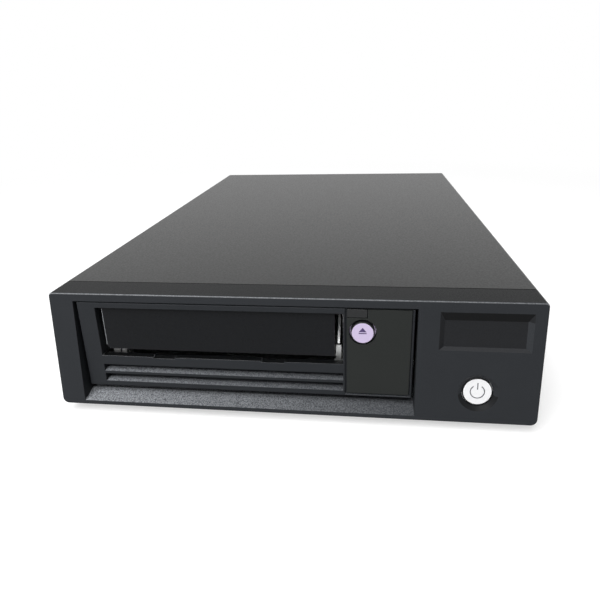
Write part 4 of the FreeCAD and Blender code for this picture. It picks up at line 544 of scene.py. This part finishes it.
def guardTree():
    tree, given = newTree("wireGuard", dict(guardInputs, Finish=materials[slotOf["fan_guard"]]))
    number = addNode(tree, "GeometryNodeInputIndex").outputs[0]
    nextOne = addNode(tree, "ShaderNodeMath", {0: number, 1: 1.0}, operation="ADD")
    size = addNode(tree, "ShaderNodeMath", {
        0: nextOne.outputs[0], 1: given["Ring Step"]}, operation="MULTIPLY")
    hoop = addNode(tree, "GeometryNodeCurvePrimitiveCircle", {
        "Resolution": guardMesh["ringSides"], "Radius": 1.0})
    rings = addNode(tree, "GeometryNodeInstanceOnPoints", {
        "Points": addNode(tree, "GeometryNodePoints", {"Count": given["Rings"]}).outputs[0],
        "Instance": hoop.outputs["Curve"], "Scale": size.outputs[0]})
    # one spoke lies on the rings and bends down to its eye
    near = addNode(tree, "ShaderNodeCombineXYZ", {"X": given["Ring Step"]})
    reach = addNode(tree, "ShaderNodeMath", {
        0: given["Eye Distance"], 1: given["Eye Radius"]}, operation="SUBTRACT").outputs[0]
    far = addNode(tree, "ShaderNodeCombineXYZ", {"X": reach})
    line = addNode(tree, "GeometryNodeCurvePrimitiveLine", {
        "Start": near.outputs[0], "End": far.outputs[0]})
    fine = addNode(tree, "GeometryNodeResampleCurve", {
        "Curve": line.outputs["Curve"], "Count": guardMesh["spokePoints"]})
    spot = addNode(tree, "ShaderNodeSeparateXYZ", {
        "Vector": addNode(tree, "GeometryNodeInputPosition").outputs[0]})
    bendFrom = addNode(tree, "ShaderNodeMath", {
        0: given["Wire Radius"], 1: -guardMesh["bendBy"], 2: reach}, operation="MULTIPLY_ADD")
    rise = addNode(tree, "ShaderNodeMath", {
        0: given["Wire Radius"], 1: guardMesh["riseBy"]}, operation="MULTIPLY")
    bend = addNode(tree, "ShaderNodeMapRange", {
        "Value": spot.outputs["X"], "From Min": bendFrom.outputs[0], "From Max": reach,
        "To Min": rise.outputs[0], "To Max": 0.0}, interpolation_type="SMOOTHSTEP")
    raised = addNode(tree, "ShaderNodeCombineXYZ", {"Z": bend.outputs["Result"]})
    spoke = addNode(tree, "GeometryNodeSetPosition", {
        "Geometry": fine.outputs["Curve"], "Offset": raised.outputs[0]})
    eyeHoop = addNode(tree, "GeometryNodeCurvePrimitiveCircle", {
        "Resolution": guardMesh["eyeSides"], "Radius": given["Eye Radius"]})
    eyePlace = addNode(tree, "ShaderNodeCombineXYZ", {"X": given["Eye Distance"]})
    eye = addNode(tree, "GeometryNodeTransform", {
        "Geometry": eyeHoop.outputs["Curve"], "Translation": eyePlace.outputs[0]})
    arm = addNode(tree, "GeometryNodeJoinGeometry", {
        0: [spoke.outputs["Geometry"], eye.outputs["Geometry"]]})
    quarter = addNode(tree, "ShaderNodeMath", {
        0: number, 1: math.pi / 2, 2: math.pi / 4}, operation="MULTIPLY_ADD")
    arms = addNode(tree, "GeometryNodeInstanceOnPoints", {
        "Points": addNode(tree, "GeometryNodePoints", {"Count": guardMesh["arms"]}).outputs[0],
        "Instance": arm.outputs["Geometry"],
        "Rotation": addNode(tree, "ShaderNodeCombineXYZ", {"Z": quarter.outputs[0]}).outputs[0]})
    both = addNode(tree, "GeometryNodeJoinGeometry", {
        0: [rings.outputs["Instances"], arms.outputs["Instances"]]})
    lines = addNode(tree, "GeometryNodeRealizeInstances", {"Geometry": both.outputs["Geometry"]})
    section = addNode(tree, "GeometryNodeCurvePrimitiveCircle", {
        "Resolution": guardMesh["wireSides"], "Radius": given["Wire Radius"]})
    wire = addNode(tree, "GeometryNodeCurveToMesh", {
        "Curve": lines.outputs["Geometry"], "Profile Curve": section.outputs["Curve"],
        "Fill Caps": True})
    smooth = addNode(tree, "GeometryNodeSetShadeSmooth", {"Geometry": wire.outputs["Mesh"]})
    placed = addNode(tree, "GeometryNodeInstanceOnPoints", {
        "Points": given["Geometry"], "Instance": smooth.outputs["Geometry"],
        "Rotation": given["Turn"]})
    endTree(tree, given, placed.outputs["Instances"])
    return tree


low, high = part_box("fan_guard")
middle = Vector(((low.x + high.x) / 2, low.y + guardInputs["Wire Radius"], (low.z + high.z) / 2))
grown("fan_guard_wire", guardTree(), [middle], guardInputs, "fan_guard", slotOf["fan_guard"])
print("wire guard made")


def reachedBy(node, direction):
    # middle of the node's vertices that reach furthest along a direction
    points = [vertex.co for vertex in nodes[node].data.vertices]
    furthest = max(point.dot(direction) for point in points)
    ring = [point for point in points if furthest - point.dot(direction) < 0.01 * mm]
    low = [min(point[i] for point in ring) for i in range(3)]
    high = [max(point[i] for point in ring) for i in range(3)]
    return Vector([(a + b) / 2 for a, b in zip(low, high)])


def arcRows(radius, width, start, end, steps):
    # outer and inner edge of a bent stroke
    angles = [math.radians(start + (end - start) * n / steps) for n in range(steps + 1)]
    return [[(edge * math.cos(a), edge * math.sin(a)) for a in angles]
            for edge in (radius + width / 2, radius - width / 2)]


def barRows(left, right, low, high):
    # upper and lower edge of a straight stroke
    return [[(left, high), (right, high)], [(left, low), (right, low)]]


inkFilm = {"top": 0.03, "thick": 0.024}  # mm over the face, and mm of ink


def printedSymbol(name, strips, node, outward, up, ink):
    # ink on a face: strips are (outer row, inner row) of points in mm
    centre = reachedBy(node, outward) + outward * inkFilm["top"] * mm
    right = up.cross(outward).normalized()
    film = bmesh.new()
    for rows in strips:
        ends = [[film.verts.new(centre + right * x * mm + up * y * mm) for x, y in row]
                for row in rows]
        for n in range(len(rows[0]) - 1):
            film.faces.new((ends[0][n], ends[0][n + 1], ends[1][n + 1], ends[1][n]))
    bmesh.ops.remove_doubles(film, verts=film.verts, dist=weld)
    for face in film.faces:
        face.normal_update()
        if face.normal.dot(outward) < 0:
            face.normal_flip()
    solid = bmesh.ops.extrude_face_region(film, geom=film.faces[:])
    moved = [part for part in solid["geom"] if isinstance(part, bmesh.types.BMVert)]
    bmesh.ops.translate(film, verts=moved, vec=-outward * inkFilm["thick"] * mm)
    bmesh.ops.recalc_face_normals(film, faces=film.faces)
    mesh = bpy.data.meshes.new(name)
    film.to_mesh(mesh)
    film.free()
    newPiece(name, mesh, node, ink, replaces=False)


# sizes in mm; gap is the half angle in degrees that the ring leaves open at its top
powerSymbol = {"radius": 2.9, "stroke": 0.42, "gap": 34, "steps": 48, "barLow": 1.0, "barHigh": 4.0}
halfStroke = powerSymbol["stroke"] / 2
outward = -axisOf["power_press"]
upward = (Vector((0, 0, 1)) - outward * outward.z).normalized()
printedSymbol("power_symbol", [
    arcRows(powerSymbol["radius"], powerSymbol["stroke"], 90 + powerSymbol["gap"],
            450 - powerSymbol["gap"], powerSymbol["steps"]),
    barRows(-halfStroke, halfStroke, powerSymbol["barLow"], powerSymbol["barHigh"])],
    "power_button", outward, upward, "grey_ink")

ejectSymbol = {"width": 3.3, "foot": 0.5, "tip": 2.5, "tipWidth": 0.04,
               "barLow": -0.35, "barHigh": 0.1}
halfWidth, halfTip = ejectSymbol["width"] / 2, ejectSymbol["tipWidth"] / 2
printedSymbol("eject_symbol", [
    [[(-halfTip, ejectSymbol["tip"]), (halfTip, ejectSymbol["tip"])],
     [(-halfWidth, ejectSymbol["foot"]), (halfWidth, ejectSymbol["foot"])]],
    barRows(-halfWidth, halfWidth, ejectSymbol["barLow"], ejectSymbol["barHigh"])],
    "eject_button", -axisOf["eject_press"], Vector((0, 0, 1)), "violet_ink")
print("symbols printed")


# The floor is pale where it is seen and darker for the light that it sends back. From clearFrom
# to clearTo, in metres from the object, it goes over to the sky's white, so no line shows.
stageLook = {"floorSize": 8.0, "seenColour": "#c4c4c4", "bounceColour": "#5a5a5a", "glow": 0.52,
             "clearFrom": 0.28, "clearTo": 0.75, "skySeen": 1.0, "skyFill": 0.2}
softboxes = {
    # name: place, what it aims at, its size and its watts
    "overhead": {"place": (-0.2, 0.3, 1.05), "aim": (0, -0.05, 0.03), "size": 0.9, "watts": 5.0},
    "highFront": {"place": (-0.3, -0.9, 1.05), "aim": (0, -0.15, 0.03), "size": 1.0, "watts": 20.0},
    "lowFront": {"place": (-0.5, -1.3, 0.55), "aim": (0, -0.15, 0.03), "size": 1.3, "watts": 8.0},
}


def seenDirectly(tree):
    # 1 for what the camera, a mirror or glass sees, 0 for what only lights other things
    path = addNode(tree, "ShaderNodeLightPath").outputs
    either = addNode(tree, "ShaderNodeMath", {
        0: path["Is Camera Ray"], 1: path["Is Glossy Ray"]}, operation="MAXIMUM")
    return addNode(tree, "ShaderNodeMath", {
        0: either.outputs[0], 1: path["Is Transmission Ray"]}, operation="MAXIMUM").outputs[0]


def paleFloor():
    material, tree = emptyMaterial("paleFloor")
    lit = addNode(tree, "ShaderNodeBsdfDiffuse", {"Color": linearColour(stageLook["seenColour"])})
    glow = addNode(tree, "ShaderNodeEmission", {"Strength": stageLook["glow"]})
    near = addNode(tree, "ShaderNodeAddShader", {0: lit.outputs[0], 1: glow.outputs[0]})
    place = addNode(tree, "ShaderNodeTexCoord").outputs["Object"]
    away = addNode(tree, "ShaderNodeVectorMath", {0: place}, operation="LENGTH")
    clear = addNode(tree, "ShaderNodeMapRange", {
        "Value": away.outputs["Value"], "From Min": stageLook["clearFrom"],
        "From Max": stageLook["clearTo"]}, interpolation_type="SMOOTHSTEP")
    white = addNode(tree, "ShaderNodeEmission", {"Strength": stageLook["skySeen"]})
    seen = addNode(tree, "ShaderNodeMixShader", {
        "Fac": clear.outputs["Result"], 1: near.outputs[0], 2: white.outputs[0]})
    bounce = addNode(tree, "ShaderNodeBsdfDiffuse", {
        "Color": linearColour(stageLook["bounceColour"])})
    finishMaterial(tree, addNode(tree, "ShaderNodeMixShader", {
        "Fac": seenDirectly(tree), 1: bounce.outputs[0], 2: seen.outputs[0]}))
    bpy.ops.mesh.primitive_plane_add(size=stageLook["floorSize"])
    floor = bpy.context.active_object
    floor.name = "floor"
    floor.data.materials.append(material)


def studioWorld():
    world = bpy.data.worlds.new("studio")
    bpy.context.scene.world = world
    world.use_nodes = True
    tree = world.node_tree
    tree.nodes.clear()
    level = addNode(tree, "ShaderNodeMapRange", {
        "Value": seenDirectly(tree), "To Min": stageLook["skyFill"],
        "To Max": stageLook["skySeen"]})
    sky = addNode(tree, "ShaderNodeBackground", {
        "Color": (1.0, 1.0, 1.0, 1.0), "Strength": level.outputs["Result"]})
    addNode(tree, "ShaderNodeOutputWorld", {"Surface": sky.outputs[0]})


def addSoftbox(name, look):
    light = bpy.data.lights.new(name, "AREA")
    light.size, light.energy = look["size"], look["watts"]
    lamp = bpy.data.objects.new(name, light)
    bpy.context.scene.collection.objects.link(lamp)
    lamp.location = look["place"]
    aim = Vector(look["aim"]) - Vector(look["place"])
    lamp.rotation_euler = aim.to_track_quat("-Z", "Y").to_euler()


paleFloor()
studioWorld()
for name, look in softboxes.items():
    addSoftbox(name, look)

# place in metres, turn in degrees, lens and sensor in mm
view = {"place": (0.0340, -0.3636, 0.1418), "turn": (69.764, 1.676, 7.318), "lens": 31.67,
        "sensor": 36, "shift": (0.0055, -0.0321), "nearest": 0.01}
lensData = bpy.data.cameras.new("camera")
lensData.sensor_width = view["sensor"]
lensData.lens = view["lens"]
lensData.shift_x, lensData.shift_y = view["shift"]
lensData.clip_start = view["nearest"]
camera = bpy.data.objects.new("camera", lensData)
bpy.context.scene.collection.objects.link(camera)
camera.location = view["place"]
camera.rotation_euler = [math.radians(angle) for angle in view["turn"]]
bpy.context.scene.camera = camera
bpy.context.scene.view_settings.view_transform = "Standard"
print("stage, lights and camera set")
